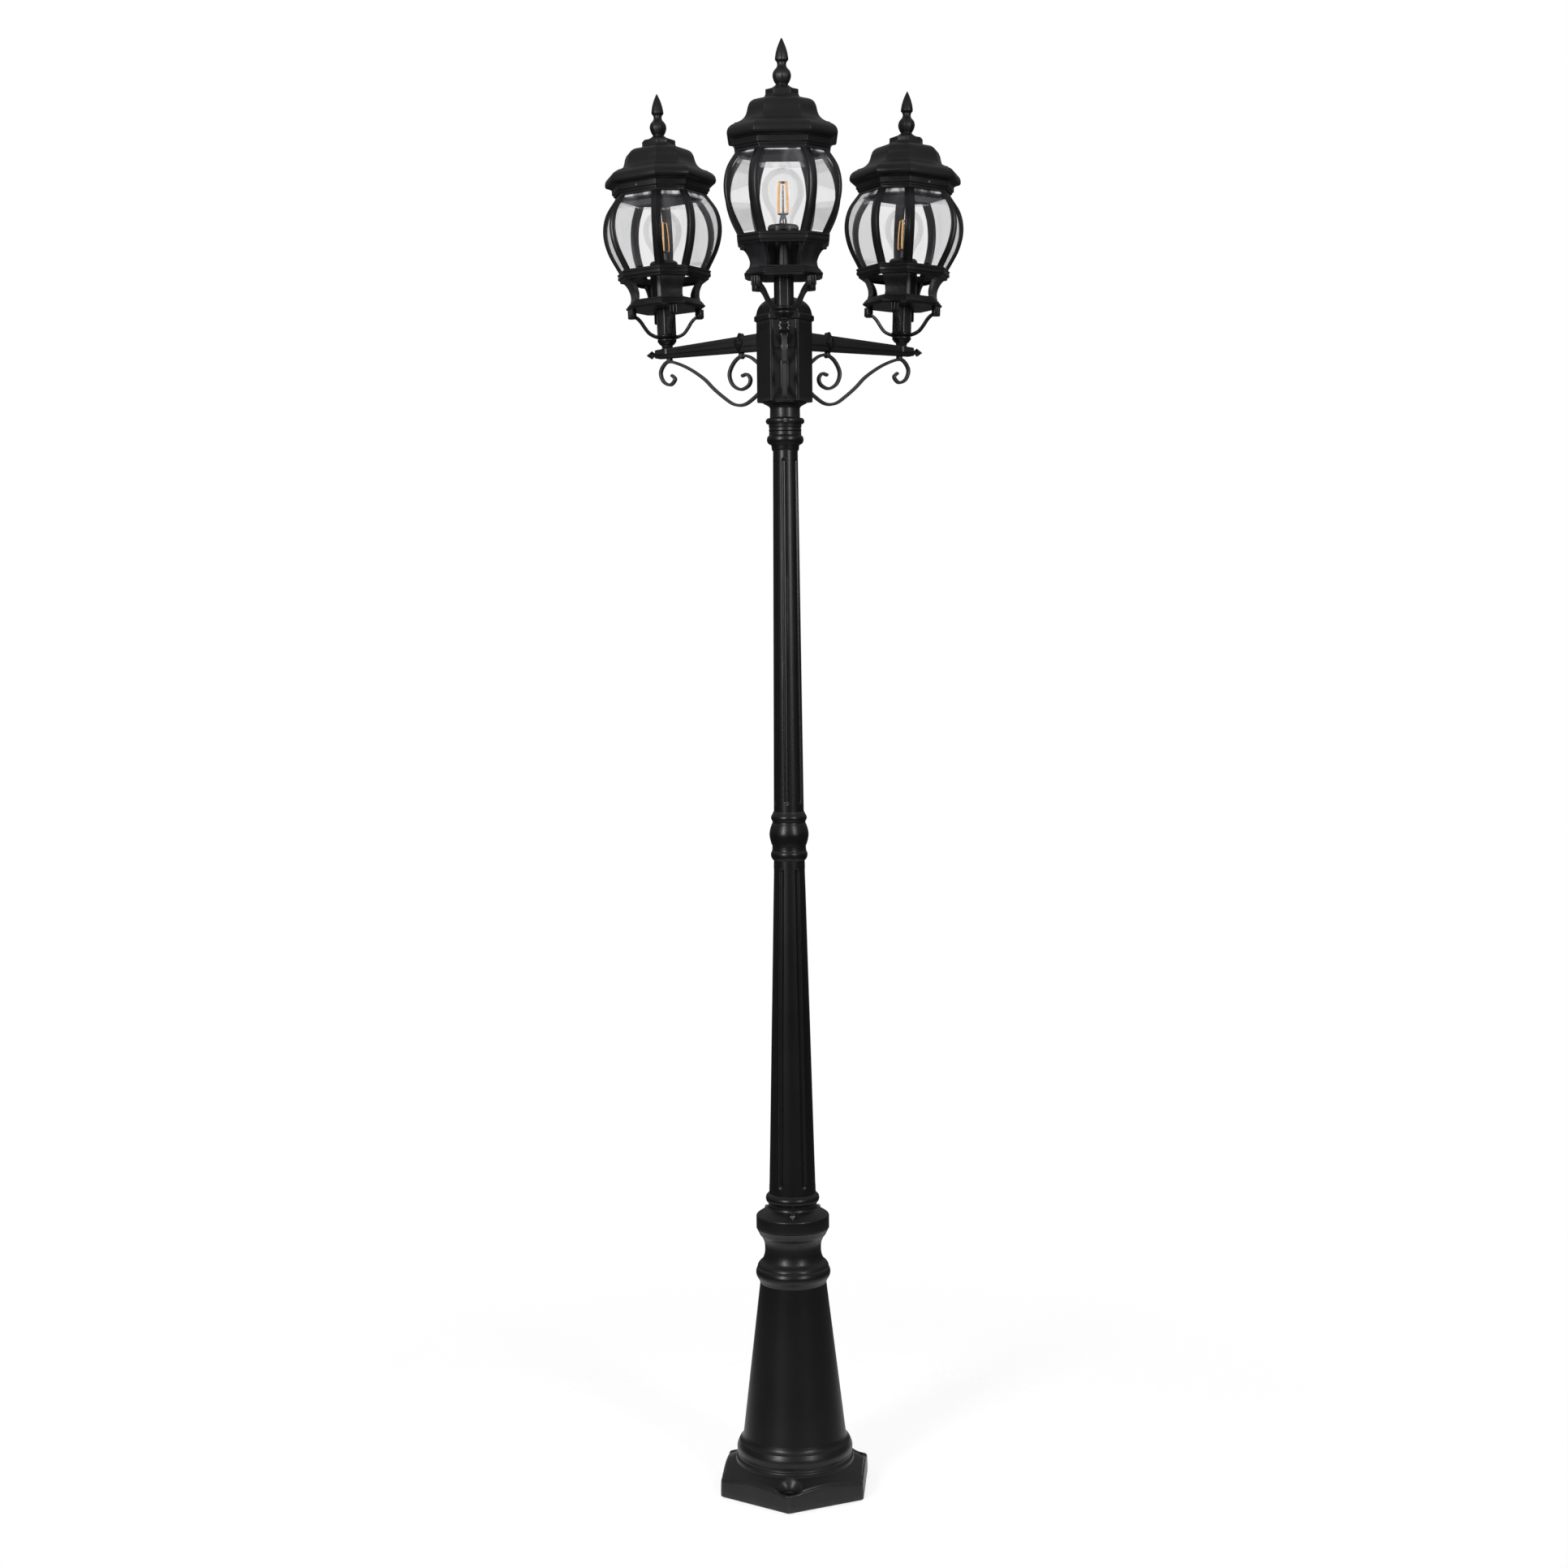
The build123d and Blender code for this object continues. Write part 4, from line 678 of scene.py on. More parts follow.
def hub_plan(radius):
    """Hexagon whose three arm faces are sunk between raised strips."""
    points = []
    for number in range(6):
        turn = math.radians(60 * number)
        along = np.array((math.cos(turn), math.sin(turn)))
        ahead = np.array((math.cos(turn + math.pi / 3), math.sin(turn + math.pi / 3)))
        start, end = along * radius, ahead * radius
        side = (end - start) / np.linalg.norm(end - start)
        inward = -(start + end) / np.linalg.norm(start + end)
        points.append(start)
        if number % 2 == 0:
            points += [start + side * STRIP, start + side * (STRIP + 1.3) + inward * RECESS * 0.45,
                       start + side * (STRIP + 2.2) + inward * RECESS,
                       end - side * (STRIP + 2.2) + inward * RECESS,
                       end - side * (STRIP + 1.3) + inward * RECESS * 0.45, end - side * STRIP]
        else:
            points += [start + (end - start) * (part / 7) for part in range(1, 7)]
    points = np.array(points)
    points = eased([points[-1], *points, points[0]], 0.55)[1:-1]
    return np.array(points)


hub_rows = [(HUB_R - 0.8, HUB_Z), (HUB_R, HUB_Z + 0.8),
            *[(HUB_R, HUB_Z + up) for up in np.linspace(6, 114, 7)], (HUB_R, HUB_TOP)]
hub = piece("hub_box", skin("hub_box", hub_rows, hub_plan))
settle(hub, head_coat, "head", "black_casting", "hub_body", crease=24)


# ---------------------------------------------------------------- hub cap
# Domed six-sided lid with a moulded rim, sprung into the top of the hub over the terminal block.
def cornered(corners, soft=0.9, steps=4, fill=3):
    """A plan with flat sides between corners at these angles, each corner softened."""
    def plan(radius):
        tips = [radius * np.array((math.cos(turn), math.sin(turn))) for turn in map(math.radians, corners)]
        points = []
        for before, tip, after in zip(tips[-1:] + tips[:-1], tips, tips[1:] + tips[:1]):
            reach = min(soft, 0.3 * radius)
            first = tip + (before - tip) / np.linalg.norm(before - tip) * reach
            last = tip + (after - tip) / np.linalg.norm(after - tip) * reach
            for t in np.linspace(0, 1, steps):
                points.append((1 - t) ** 2 * first + 2 * t * (1 - t) * tip + t * t * last)
            onward = after + (tip - after) / np.linalg.norm(tip - after) * reach
            for t in np.arange(1, fill + 1) / (fill + 1):
                points.append(last * (1 - t) + onward * t)
        return np.array(points)
    return plan


HEXAGON = range(0, 360, 60)
cap_rows = profile(
    *straight((HUB_R + 0.6, HUB_TOP + 0.1), (45.6, HUB_TOP + 1.6), (45.6, HUB_TOP + 8.2),
              (43.4, HUB_TOP + 9.5)),
    [(43.4, HUB_TOP + 9.5), (42.6, HUB_TOP + 11), (40.4, HUB_TOP + 19), (35.6, HUB_TOP + 26.5),
     (27.5, HUB_TOP + 32.6), (17, HUB_TOP + 36.6), (8, HUB_TOP + 38), (1.5, HUB_TOP + 38.3)],
    ease=0.5)
settle(piece("hub_dome", skin("hub_dome", cap_rows, cornered(HEXAGON, 1.6, 5, 5))), head_coat, "head",
       "black_casting", "hub_cap", crease=40)


# ---------------------------------------------------------------- arm bolts
# Zinc-plated hexagon screws inside the hub that draw each arm's root plate tight. They are hidden
# by the cap, so the frame's own shape serves.
frame["nodes"]["arm_bolts"].data.materials.clear()
frame["nodes"]["arm_bolts"].data.materials.append(screw_steel)


# ---------------------------------------------------------------- arms
# Three cast arms that taper outward, with a raised band along each side, a root plate bolted to
# the hub, a seat for the lantern, and a diamond point on the outer end.
ARM_Z, ARM_ROOT, ARM_END, ARM_REACH = 1750.3, HUB_FLAT - 1.6, 230.0, 209.7


def arm_section(x, height, width=7.5, inset=0.0):
    """Section across the arm, with the raised band along its sides."""
    low, high, mid = inset, height - inset, min(8.0, 0.3 * height)
    top = max(height - mid, mid + 2.2)
    half = width - inset
    corners = [(-half, low), (half, low), (half, mid), (half + 0.9, mid + 0.9), (half + 0.9, top - 0.9),
               (half, top), (half, high), (-half, high), (-half, top), (-half - 0.9, top - 0.9),
               (-half - 0.9, mid + 0.9), (-half, mid)]
    points = [np.array(corner, float) for corner in corners]
    ring = eased([points[-1], *points, points[0]], 0.8)[1:-1]
    return [(x, y, ARM_Z + z) for y, z in ring]


def arm_height(x):
    return 26.5 + (13.0 - 26.5) * (x - ARM_ROOT) / (ARM_END - ARM_ROOT)


def turned_along(rows, height, plan):
    """A skin whose axis runs along x at this height instead of upright."""
    mesh = skin("turned", rows, plan)
    mesh.transform(Matrix.Translation((0, 0, height * MM)) @ Matrix.Rotation(math.pi / 2, 4, "Y"))
    return mesh


bar_rings = [arm_section(x, arm_height(x)) for x in (ARM_ROOT, 60, 90, 120, 150, 180, 200, ARM_END - 4)]
bar_rings += [arm_section(ARM_END - 1.2, 13.2, 7.1, 0.5), arm_section(ARM_END, 13.0, 6.2, 2.2)]
arm_bar = closed_mesh("bar", [ring[::-1] for ring in bar_rings][::-1])
root_plan = cornered((43, 137, 223, 317), 3.0, 6, 2)
root_rows = [(21.2, ARM_ROOT + 0.1), (21.9, ARM_ROOT + 0.8), (21.9, ARM_ROOT + 4.2), (21.2, ARM_ROOT + 5)]
root_plate = turned_along(root_rows, ARM_Z + 13.2,
                          lambda radius: np.array([(-y, x) for x, y in root_plan(radius)]))
point_rows = profile(
    [(6.2, ARM_END - 1.5), (4.2, ARM_END + 2), (3.6, ARM_END + 3.6), (4.6, ARM_END + 5.4)],
    *straight((4.6, ARM_END + 5.4), (6.6, ARM_END + 7.6), (6.4, ARM_END + 9), (0.5, ARM_END + 18)),
    ease=0.4)
arm_point = turned_along(point_rows, ARM_Z + 6.5, cornered(range(0, 360, 90), 0.9, 4, 2))
lantern_seat = skin("seat", profile(
    *straight((9.4, ARM_Z + 6), (9.4, ARM_Z + 14.2), (8.2, ARM_Z + 15.6)),
    ease=0.5), lambda radius: round_plan(radius, 64))
lantern_seat.transform(Matrix.Translation((ARM_REACH * MM, 0, 0)))
clip_lug = skin("lug", [(4.6, ARM_Z - 3), (5.2, ARM_Z - 2.2), (5.2, ARM_Z + 2)],
                cornered((45, 135, 225, 315), 0.8))
clip_lug.transform(Matrix.Translation(((ARM_REACH - 4) * MM, 0, 0)))
arms = piece("arms", join("arms", [arm_bar, root_plate, arm_point, lantern_seat, clip_lug]))
repeated(arms, 3, -90, head_coat)
settle(arms, head_coat, "head", "black_casting", "front_arm", "left_arm", "right_arm", crease=28)


# ---------------------------------------------------------------- leaf collars
# A cast pair of pointed leaves clasps each arm a third of the way out, with a spear above and a
# bud below.
LEAF_AT, LEAF_Z = 76.0, ARM_Z + 12.5


def leaf(side):
    """One leaf half: a pointed oval bowed out from the arm, ribbed along its middle."""
    rings = []
    for height in np.linspace(-15.5, 16.5, 21):
        t = (height + 15.5) / 32
        spread = 1 - abs(2 * t - 1)
        half = 0.8 + 8.4 * spread
        bow = 7.4 + 5.0 * spread ** 0.7
        ring = []
        for across in np.linspace(-1, 1, 11):
            rib = 1.3 * max(0, 1 - abs(across) * 3.2) - 0.5 * abs(math.sin(across * 6))
            out = bow * (1 - 0.32 * across * across) + rib * min(1, half / 5)
            ring.append((LEAF_AT + across * half, out, LEAF_Z + height))
        for across in np.linspace(1, -1, 11):
            ring.append((LEAF_AT + across * half, 2.0, LEAF_Z + height))
        rings.append(ring[::-1])
    mesh = closed_mesh("leaf", rings)
    if side < 0:
        mesh.transform(Matrix.Scale(-1, 4, (0, 1, 0)))
        mesh.flip_normals()
    return mesh


spear = skin("spear", profile(
    *straight((5.4, LEAF_Z + 9), (5.0, LEAF_Z + 13), (0.5, LEAF_Z + 16.5)),
    ease=0.5),
             cornered(range(0, 360, 90), 0.8))
bud = skin("bud", profile(
    [(2.4, LEAF_Z - 20.5), (4.4, LEAF_Z - 18.6), (4.4, LEAF_Z - 16.5), (3.2, LEAF_Z - 14)],
    ease=0.4),
           lambda radius: round_plan(radius, 32))
for tip in (spear, bud):
    tip.transform(Matrix.Translation((LEAF_AT * MM, 0, 0)))
collars = piece("leaf_collars", join("leaf_collars", [leaf(1), leaf(-1), spear, bud]))
repeated(collars, 3, -90, head_coat)
settle(collars, head_coat, "head", "black_casting", "front_leaf_collar", "left_leaf_collar",
       "right_leaf_collar", crease=40)


# ---------------------------------------------------------------- scrolls
# Flat steel bar bent cold into a long S under each arm and a C beside the hub, coated with the rest
# but drawn lighter, as a painted highlight. Geometry Nodes sweep the bar's rounded section along the bent
# line.
def bar_tree(name):
    """Geometry Nodes that sweep a flat rounded bar along a line."""
    start, given, names = named_tree(name, (
        ("Thickness", "Float", 0.003), ("Width", "Float", 0.008), ("Edge Round", "Float", 0.0009),
        ("Step", "Float", 0.0018)))
    line = start.node("GeometryNodeMeshToCurve", {}, {"Mesh": given["Geometry"]})
    line = start.node("GeometryNodeResampleCurve", {"mode": "LENGTH"},
                      {"Curve": line, "Length": given["Step"]})
    section = start.node("GeometryNodeCurvePrimitiveQuadrilateral", {}, {"Width": given["Width"],
                                                                         "Height": given["Thickness"]})
    section = start.node("GeometryNodeFilletCurve", {"mode": "POLY"}, {"Curve": section, "Count": 4,
                                                                       "Radius": given["Edge Round"]})
    swept = start.node("GeometryNodeCurveToMesh", {},
                       {"Curve": line, "Profile Curve": section, "Fill Caps": True})
    finished(start, swept, given)
    return start.tree, names


bent_bar, bent_inputs = bar_tree("Bent Bar")
# Painted highlight: this coat's base colour is ten times paler than the castings', standing in for the
# light the bars catch.
painted_highlight_bar_coat = powder_coat("satin_black_bar_painted_highlight", 0.05, 0.27, 1900)


def swept_bar(points, width, thickness, material=painted_highlight_bar_coat):
    """The mesh of a flat bar along a smooth line of points in millimetres."""
    line = np.array(flowing(points, 12))
    for turn in range(240):
        line[1:-1] += (0.5, -0.52)[turn % 2] * (0.5 * (line[:-2] + line[2:]) - line[1:-1])
    mesh = bpy.data.meshes.new("line")
    mesh.from_pydata([tuple(point * MM) for point in line], [(n, n + 1) for n in range(len(line) - 1)], [])
    path = piece("line", mesh)
    with_nodes(path, bent_bar, bent_inputs, Thickness=thickness * MM, Width=width * MM,
               Edge_Round=min(1.6, 0.4 * thickness) * MM, Finish=material)
    made = path.data
    bpy.data.objects.remove(path)
    return made


LONG_BAR = [(202, -26.5), (196, -33), (204.5, -41), (217, -35.5), (222, -21), (213, -7.5), (200, -6.5),
            (172, -17.5), (144, -35), (126, -51.5), (107, -66.5), (89, -77.5), (70, -78.5), (50, -67),
            (ARM_ROOT + 1.5, -55)]
C_BAR = [(ARM_ROOT + 1.5, -28), (48, -16.5), (61, -7.5), (75, -5.5), (88.5, -14), (97, -31), (91.5, -47.5),
         (77, -55.5), (63.5, -50.5), (60, -41), (66, -33.5), (75, -35.5)]
scroll_parts = [swept_bar([(x, 0, ARM_Z + z) for x, z in line], 8.0, 4.4) for line in (LONG_BAR, C_BAR)]
for x, depth in ((ARM_REACH - 4, 5.5), (LEAF_AT - 1, 7.4)):
    clip = skin("clip", profile(
        *straight((4.6, ARM_Z - 2.2 - depth), (6.2, ARM_Z - depth), (6.2, ARM_Z - 2.2)),
        ease=0.8),
                cornered((62, 118, 242, 298), 1.2))
    clip.transform(Matrix.Translation((x * MM, 0, 0)))
    scroll_parts.append(clip)
pad_rows = [(21, ARM_ROOT), (21.6, ARM_ROOT + 0.6), (21.6, ARM_ROOT + 2.2), (21, ARM_ROOT + 2.6)]
pad = turned_along(pad_rows, ARM_Z - 41, cornered((16, 164, 196, 344), 1.2, 5, 2))
scroll_parts.append(pad)
scrolls = piece("scrolls", join("scrolls", scroll_parts))
repeated(scrolls, 3, -90, painted_highlight_bar_coat)
settle(scrolls, painted_highlight_bar_coat, "head", "black_casting", "front_scroll", "left_scroll", "right_scroll",
       crease=40)


# ---------------------------------------------------------------- lantern baskets
# Each lantern stands in a cast cup with four S-shaped struts, whose reeded lugs hold the gallery
# plate. The lanterns lean out by two degrees, along the axis on which each bulb turns.
LANTERNS = {}
for joint in frame["joints"]:
    if joint["name"].endswith("_bulb_turn"):
        up = Vector(joint["axis"]).normalized()
        out = Vector(joint["pos_m"]) - Vector((0, 0, joint["pos_m"][2]))
        along = (out - out.dot(up) * up).normalized()
        turn = Matrix((along, up.cross(along), up)).transposed().to_4x4()
        LANTERNS[joint["name"][:-len("_bulb_turn")]] = Matrix.Translation(joint["pos_m"]) @ turn
STEM_R = 15.5


def hang(pattern, word, material, slot, node, crease=32, body="head"):
    """Put one copy of a lantern's piece in each lantern, in place of its node."""
    for side, lantern in LANTERNS.items():
        mesh = pattern.copy()
        mesh.transform(lantern)
        settle(piece(f"{side}_{word}", mesh), material, body.replace("SIDE", side), slot,
               *([f"{side}_{node}"] if node else []), crease=crease)


def strut(points, width, thick):
    """A strut along a line in the upright plane, with a ridge along its outer face."""
    line = flowing(points, 10)
    rings = []
    for number, (radius, height) in enumerate(line):
        ahead = line[min(number + 1, len(line) - 1)] - line[max(number - 1, 0)]
        ahead = ahead / np.linalg.norm(ahead)
        side = np.array((ahead[1], -ahead[0]))
        w, t = width / 2, thick / 2
        ring = []
        for across, out in ((-w, -t), (w, -t), (w, t * 0.55), (w * 0.42, t * 0.75), (w * 0.2, t * 1.7),
                            (-w * 0.2, t * 1.7), (-w * 0.42, t * 0.75), (-w, t * 0.55)):
            spot = np.array((radius, height)) + side * out
            ring.append((spot[0], across, spot[1]))
        rings.append(ring)
    return closed_mesh("strut", rings)


def outward(mesh):
    """Turn the faces outward where the shape was drawn inside out."""
    work = bmesh.new()
    work.from_mesh(mesh)
    bmesh.ops.recalc_face_normals(work, faces=work.faces)
    work.to_mesh(mesh)
    work.free()
    return mesh


def reeded(radius):
    """Plan of a lug: three upright reeds side by side."""
    turns = np.linspace(0, 2 * math.pi, 72, endpoint=False)
    along, across = 6.4 * np.cos(turns), 7.3 * np.sin(turns)
    reed = 2.5 * np.abs(np.cos(across / 7.3 * 1.5 * math.pi)) ** 0.6
    along = np.clip(along, -6.4, 3.6) + np.where(along > 3.0, reed, 0)
    return np.stack([along * radius, across * radius], axis=1)


lug = skin("lug", profile(*straight((0.86, 43.6), (1.0, 45), (1.0, 56), (0.94, 57.4)), ease=0.3), reeded)
lug.transform(Matrix.Translation((53 * MM, 0, 0)))
strut_line = [(13.6, 15.5), (21, 18.2), (28, 22.6), (34.8, 31.5), (39.5, 38.8), (45.5, 45), (52, 48)]
one_strut = piece("strut", join("strut", [outward(strut(strut_line, 6.2, 3.8)), lug]))
repeated(one_strut, 4, 45, head_coat)
cup_rows = profile(
    [(8.4, 0.1), (9.2, 3.4)],
    [(9.2, 3.4), (11.2, 4.2), (14.4, 8.6), (14.6, 11.2), (13.1, 13.6)],
    [(13.1, 13.6), (16.6, 14.4)],
    [(16.6, 14.4), (17.1, 16.2), (16.4, 18.2)],
    [(16.4, 18.2), (15.2, 18.6)],
    ease=0.5)
basket = join("basket", [skin("cup", cup_rows, lambda radius: round_plan(radius, 96)), one_strut.data])
bpy.data.objects.remove(one_strut)
hang(basket, "cup_and_struts", head_coat, "black_casting", "basket", crease=38)


# ---------------------------------------------------------------- stems
# An eight-sided tube between cup and gallery that carries the lantern and hides its wires.
stem_rows = profile([(STEM_R - 0.3, 15), (STEM_R - 0.3, 57)], ease=0.2)
hang(skin("stem", stem_rows, cornered(np.arange(8) * 45 + 22.5, 1.6, 4, 1)), "stem_tube", head_coat,
     "black_casting", "stem")


# ---------------------------------------------------------------- galleries
# The openwork casting under each cage: a moulded plate, four hollowed brackets on the narrow
# sides with windows between them, and a stepped ring that the glass stands in.
CORNER = 27
OCTAGON = [quarter + corner for quarter in (0, 90, 180, 270) for corner in (-CORNER, CORNER)]
octagon = cornered(OCTAGON, 0.7, 3, 2)
plate = skin("plate", profile(
    *straight((57.4, 57.5), (61.4, 59.6), (62.0, 60.6), (62.0, 62), (59.8, 63.2), (59.6, 64.8),
              (57.6, 66), (57.2, 67.6)),
    [(57.2, 67.6), (55.2, 68.6), (54.2, 71)],
    ease=0.4), octagon)
ring = skin("ring", profile(
    *straight((62.0, 100.8), (69.2, 101), (69.4, 104.2), (72.4, 105.4), (72.6, 109.6), (71.7, 110.3),
              (71.7, 111.3), (73.0, 112), (73.0, 113.8), (71.6, 115), (65, 115), (65, 106.4),
              (60, 104.4)),
    ease=0.4), octagon, ring_shaped=True)
bracket_rings = []
bracket_line = [(55.0, 69.5), (53.6, 75), (54.2, 83), (57.4, 91.5), (62.2, 98.4), (67.5, 102.6)]
for radius, height in flowing(bracket_line, 6):
    facing = radius * math.cos(math.radians(45 - CORNER))
    half = radius * math.sin(math.radians(45 - CORNER))
    section = [(0, -half + 0.7), (0, half - 0.7), (-0.7, half), (-7.4, half - 0.4), (-7.8, half - 3.2),
               (-3.6, half - 3.8), (-3.6, -half + 3.8), (-7.8, -half + 3.2), (-7.4, -half + 0.4),
               (-0.7, -half)]
    bracket_rings.append([(facing + inward, across, height - 0.12 * inward) for inward, across in section])
brackets = piece("brackets", outward(closed_mesh("bracket", bracket_rings)))
repeated(brackets, 4, 45, head_coat)
gallery = join("gallery", [plate, ring, brackets.data])
bpy.data.objects.remove(brackets)
hang(gallery, "gallery_casting", head_coat, "black_casting", "gallery", crease=24)


# ---------------------------------------------------------------- cages
# Eight thin cast ribs, V-shaped in section with a raised bead down the middle, between a foot
# ring and a head ring. They hold the panes from outside.
CAGE_Z = 115.0
cage_line = flowing([(69.6, CAGE_Z), (86.2, 147.5), (92.5, 177.4), (87.5, 205.4), (71.5, 230)], 9)
RIB_T, RIB_HALF = 3.0, 8.6
RIB_SECTION = [(-RIB_HALF, 1.0), (-RIB_HALF + 0.7, 0.8), (-4.4, 0.8), (-3.6, 0.3), (-1.0, 0.1), (0, 0),
               (1.0, 0.1), (3.6, 0.3), (4.4, 0.8), (RIB_HALF - 0.7, 0.8), (RIB_HALF, 1.0),
               (RIB_HALF - 0.1, RIB_T - 0.4), (4, RIB_T), (0, RIB_T + 0.2), (-4, RIB_T),
               (-RIB_HALF + 0.1, RIB_T - 0.4)]
lantern_coat = powder_coat("satin_black_lantern", 0.0075, 0.31, 1700)
rib_rings = []
for number, (radius, height) in enumerate(cage_line):
    ring = []
    ahead = cage_line[min(number + 1, len(cage_line) - 1)] - cage_line[max(number - 1, 0)]
    tilt = math.atan2(ahead[0], ahead[1])
    for place, depth in RIB_SECTION:
        corner = math.radians(CORNER)
        slant = math.radians(45)
        side = np.array((0.0, -1.0)) if place < 0 else np.array((-math.sin(slant), math.cos(slant)))
        spot = np.array((radius * math.cos(corner), radius * math.sin(corner))) + side * abs(place)
        face = 0 if place < 0 else math.radians(45)
        out = np.array((math.cos(face), math.sin(face))) if abs(place) > 0.01 else np.array(
            (math.cos(corner), math.sin(corner)))
        spot = spot - out * depth * math.cos(tilt)
        ring.append((spot[0], spot[1], height + depth * math.sin(tilt)))
    rib_rings.append(ring)
rib = outward(closed_mesh("rib", rib_rings))
mirrored = rib.copy()
mirrored.transform(Matrix.Scale(-1, 4, (0, 1, 0)))
ribs = piece("ribs", join("ribs", [rib, outward(mirrored)]))
repeated(ribs, 4, 0, lantern_coat)
foot_ring = skin("foot_ring", profile(
    *straight((66.2, 114.4), (69.6, 114.4), (70.2, 116), (67.2, 116), (66.2, 114.4)),
    ease=0.3)[:-1],
                 octagon, ring_shaped=True)
head_ring = skin("head_ring", profile(
    *straight((68.4, 228.6), (72.2, 228.6), (71.5, 230.4), (71.5, 236), (68.4, 236), (68.4, 228.6)),
    ease=0.3)[:-1], octagon, ring_shaped=True)
cage = join("cage", [ribs.data, foot_ring, head_ring])
bpy.data.objects.remove(ribs)
hang(cage, "rib_cage", lantern_coat, "black_casting", "cage", crease=30)


# ---------------------------------------------------------------- glass panes
# Eight clear panes to each lantern, bent to the cage's bulge, with ground edges, and a glow painted along
# the top edge as a highlight for the light they catch. They stand in the gallery ring, behind the ribs.
def clear_glass(name, tint, clear, edge, painted_lip_glow=0.0):
    """Clear glass: nearly unseen face on, a mirror where it turns away, with painted highlights: pale
    upright streaks, and a glow along the polished top edge.
    """
    material, start = new_material(name)
    rim = start.node("ShaderNodeLayerWeight", {}, {"Blend": 0.28}, "Fresnel")
    # Painted highlight: upright streaks of paler, more opaque glass stand in for reflections.
    painted_streak = start.noise(30, 3, (1, 1, 0.18)).band(0.5, 0.75)
    waves = start.noise(45, 2, (1, 1, 0.3))
    place = start.node("ShaderNodeTexCoord", {}, {}, "Object")
    height = start.node("ShaderNodeSeparateXYZ", {}, {"Vector": place}, "Z")
    # Painted highlight: along the top edge the glass is made more opaque and glows pale, standing in for
    # light caught in the ground edge.
    top = painted_lip_glow * height.band(1.9895, 1.991) * (0.1 + 0.9 * start.noise(60, 2, (1, 1, 0.1)).band(0.35, 0.6))
    bump = start.node("ShaderNodeBump", {}, {"Strength": 0.12, "Distance": 0.0008, "Height": waves})
    body = start.node("ShaderNodeBsdfPrincipled", {}, {
        "Base Color": painted_streak.blend((*tint, 1), (0.9, 0.9, 0.92, 1)), "Roughness": 0.02 + 0.05 * painted_streak,
        "Alpha": clear + 0.05 * painted_streak + top, "Normal": bump, "IOR": 1.5,
        "Emission Color": (top * 1.6).blend((0, 0, 0, 1), (0.85, 0.85, 0.88, 1)), "Emission Strength": 1.0})
    mirror = start.node("ShaderNodeBsdfPrincipled", {}, {
        "Base Color": painted_streak.blend((0.9, 0.9, 0.92, 1), (1, 1, 1, 1)), "Metallic": 1.0,
        "Roughness": 0.04 + 0.06 * painted_streak, "Normal": bump})
    shine = 0.6 * clear + edge * start.math("POWER", rim, 3.0)
    both = start.node("ShaderNodeMixShader", {}, {0: shine, 1: body, 2: mirror})
    start.node("ShaderNodeOutputMaterial", {}, {"Surface": both})
    return material


pane_glass = clear_glass("pane_glass", (0.62, 0.62, 0.67), 0.036, 0.22, painted_lip_glow=0.4)


def pane(turn, half_turn):
    """One pane between two ribs, on the side that faces this way."""
    rings = []
    for radius, height in cage_line[1:-1]:
        reach = (radius - 3.3) * math.cos(math.radians(half_turn))
        half = (radius - 3.3) * math.sin(math.radians(half_turn)) - 1.5
        outer = [(reach, share * half) for share in np.linspace(-1, 1, 9)]
        inner = [(x - 2.0, y * 0.985) for x, y in outer[::-1]]
        rings.append([(x * math.cos(turn) - y * math.sin(turn), x * math.sin(turn) + y * math.cos(turn),
                       height) for x, y in outer + inner])
    return outward(closed_mesh("pane", rings))


pair = piece("panes", join("panes", [pane(0, CORNER), pane(math.radians(45), 45 - CORNER)]))
repeated(pair, 4, 0, pane_glass)
hang(pair.data, "panes", pane_glass, "pane_glass", "glass", crease=30)
bpy.data.objects.remove(pair)


# ---------------------------------------------------------------- lampholders
# Black phenolic screw lampholder with twelve flats, fixed to the gallery plate and standing up
# through its ring.
holder_plastic = moulded("holder_phenolic", (0.008, 0.008, 0.009), 0.3, 900)
holder_rows = profile(
    *straight((21.4, 73), (22, 74), (22, 128), (20.2, 131), (14.6, 131), (14.6, 107.4), (3, 107.4),
              (3, 73)),
    ease=0.6)
hang(skin("holder", holder_rows, cornered(range(0, 360, 30), 0.9, 3, 1), ring_shaped=True),
     "lampholder_body", holder_plastic, "holder_plastic", "lampholder", crease=24)


# ---------------------------------------------------------------- bulbs
# Clear pear-shaped filament lamps: a blown envelope, a crimped screw cap, and a glass mount with
# four glowing strips. They turn together when a lamp is changed.
envelope_glass = clear_glass("bulb_glass", (0.72, 0.71, 0.72), 0.01, 0.1)
shell = flowing([(13.3, 132), (15.2, 139), (20.6, 150.5), (27.3, 163.5), (30, 178), (27, 193.5),
                 (17.4, 205.3), (6, 209.6), (1.2, 210)], 7)
shell_rows = shell + [(max(radius - 0.8, 0.8), height - (0.8 if height > 190 else 0))
                      for radius, height in shell[::-1]]
hang(skin("envelope", shell_rows, lambda radius: round_plan(radius, 96), ring_shaped=True), "bulb_envelope",
     envelope_glass, "bulb_glass", "bulb_glass", body="SIDE_bulb", crease=60)

cap_metal = bare_steel("cap_aluminium", (0.66, 0.65, 0.62), 0.3)
thread = []
for number in range(5):
    thread += [(12.3, 114 + number * 3.4), (12.9, 114.9 + number * 3.4), (13.2, 115.7 + number * 3.4),
               (12.9, 116.5 + number * 3.4)]
cap_rows = [(4.2, 108), (5.4, 109), (5.6, 110.4), (10.6, 112.6), *thread, (12.6, 131), (12.9, 132)]
hang(skin("cap", cap_rows, lambda radius: round_plan(radius, 72)), "bulb_screw_cap", cap_metal, "bulb_cap",
     "bulb_cap", body="SIDE_bulb")

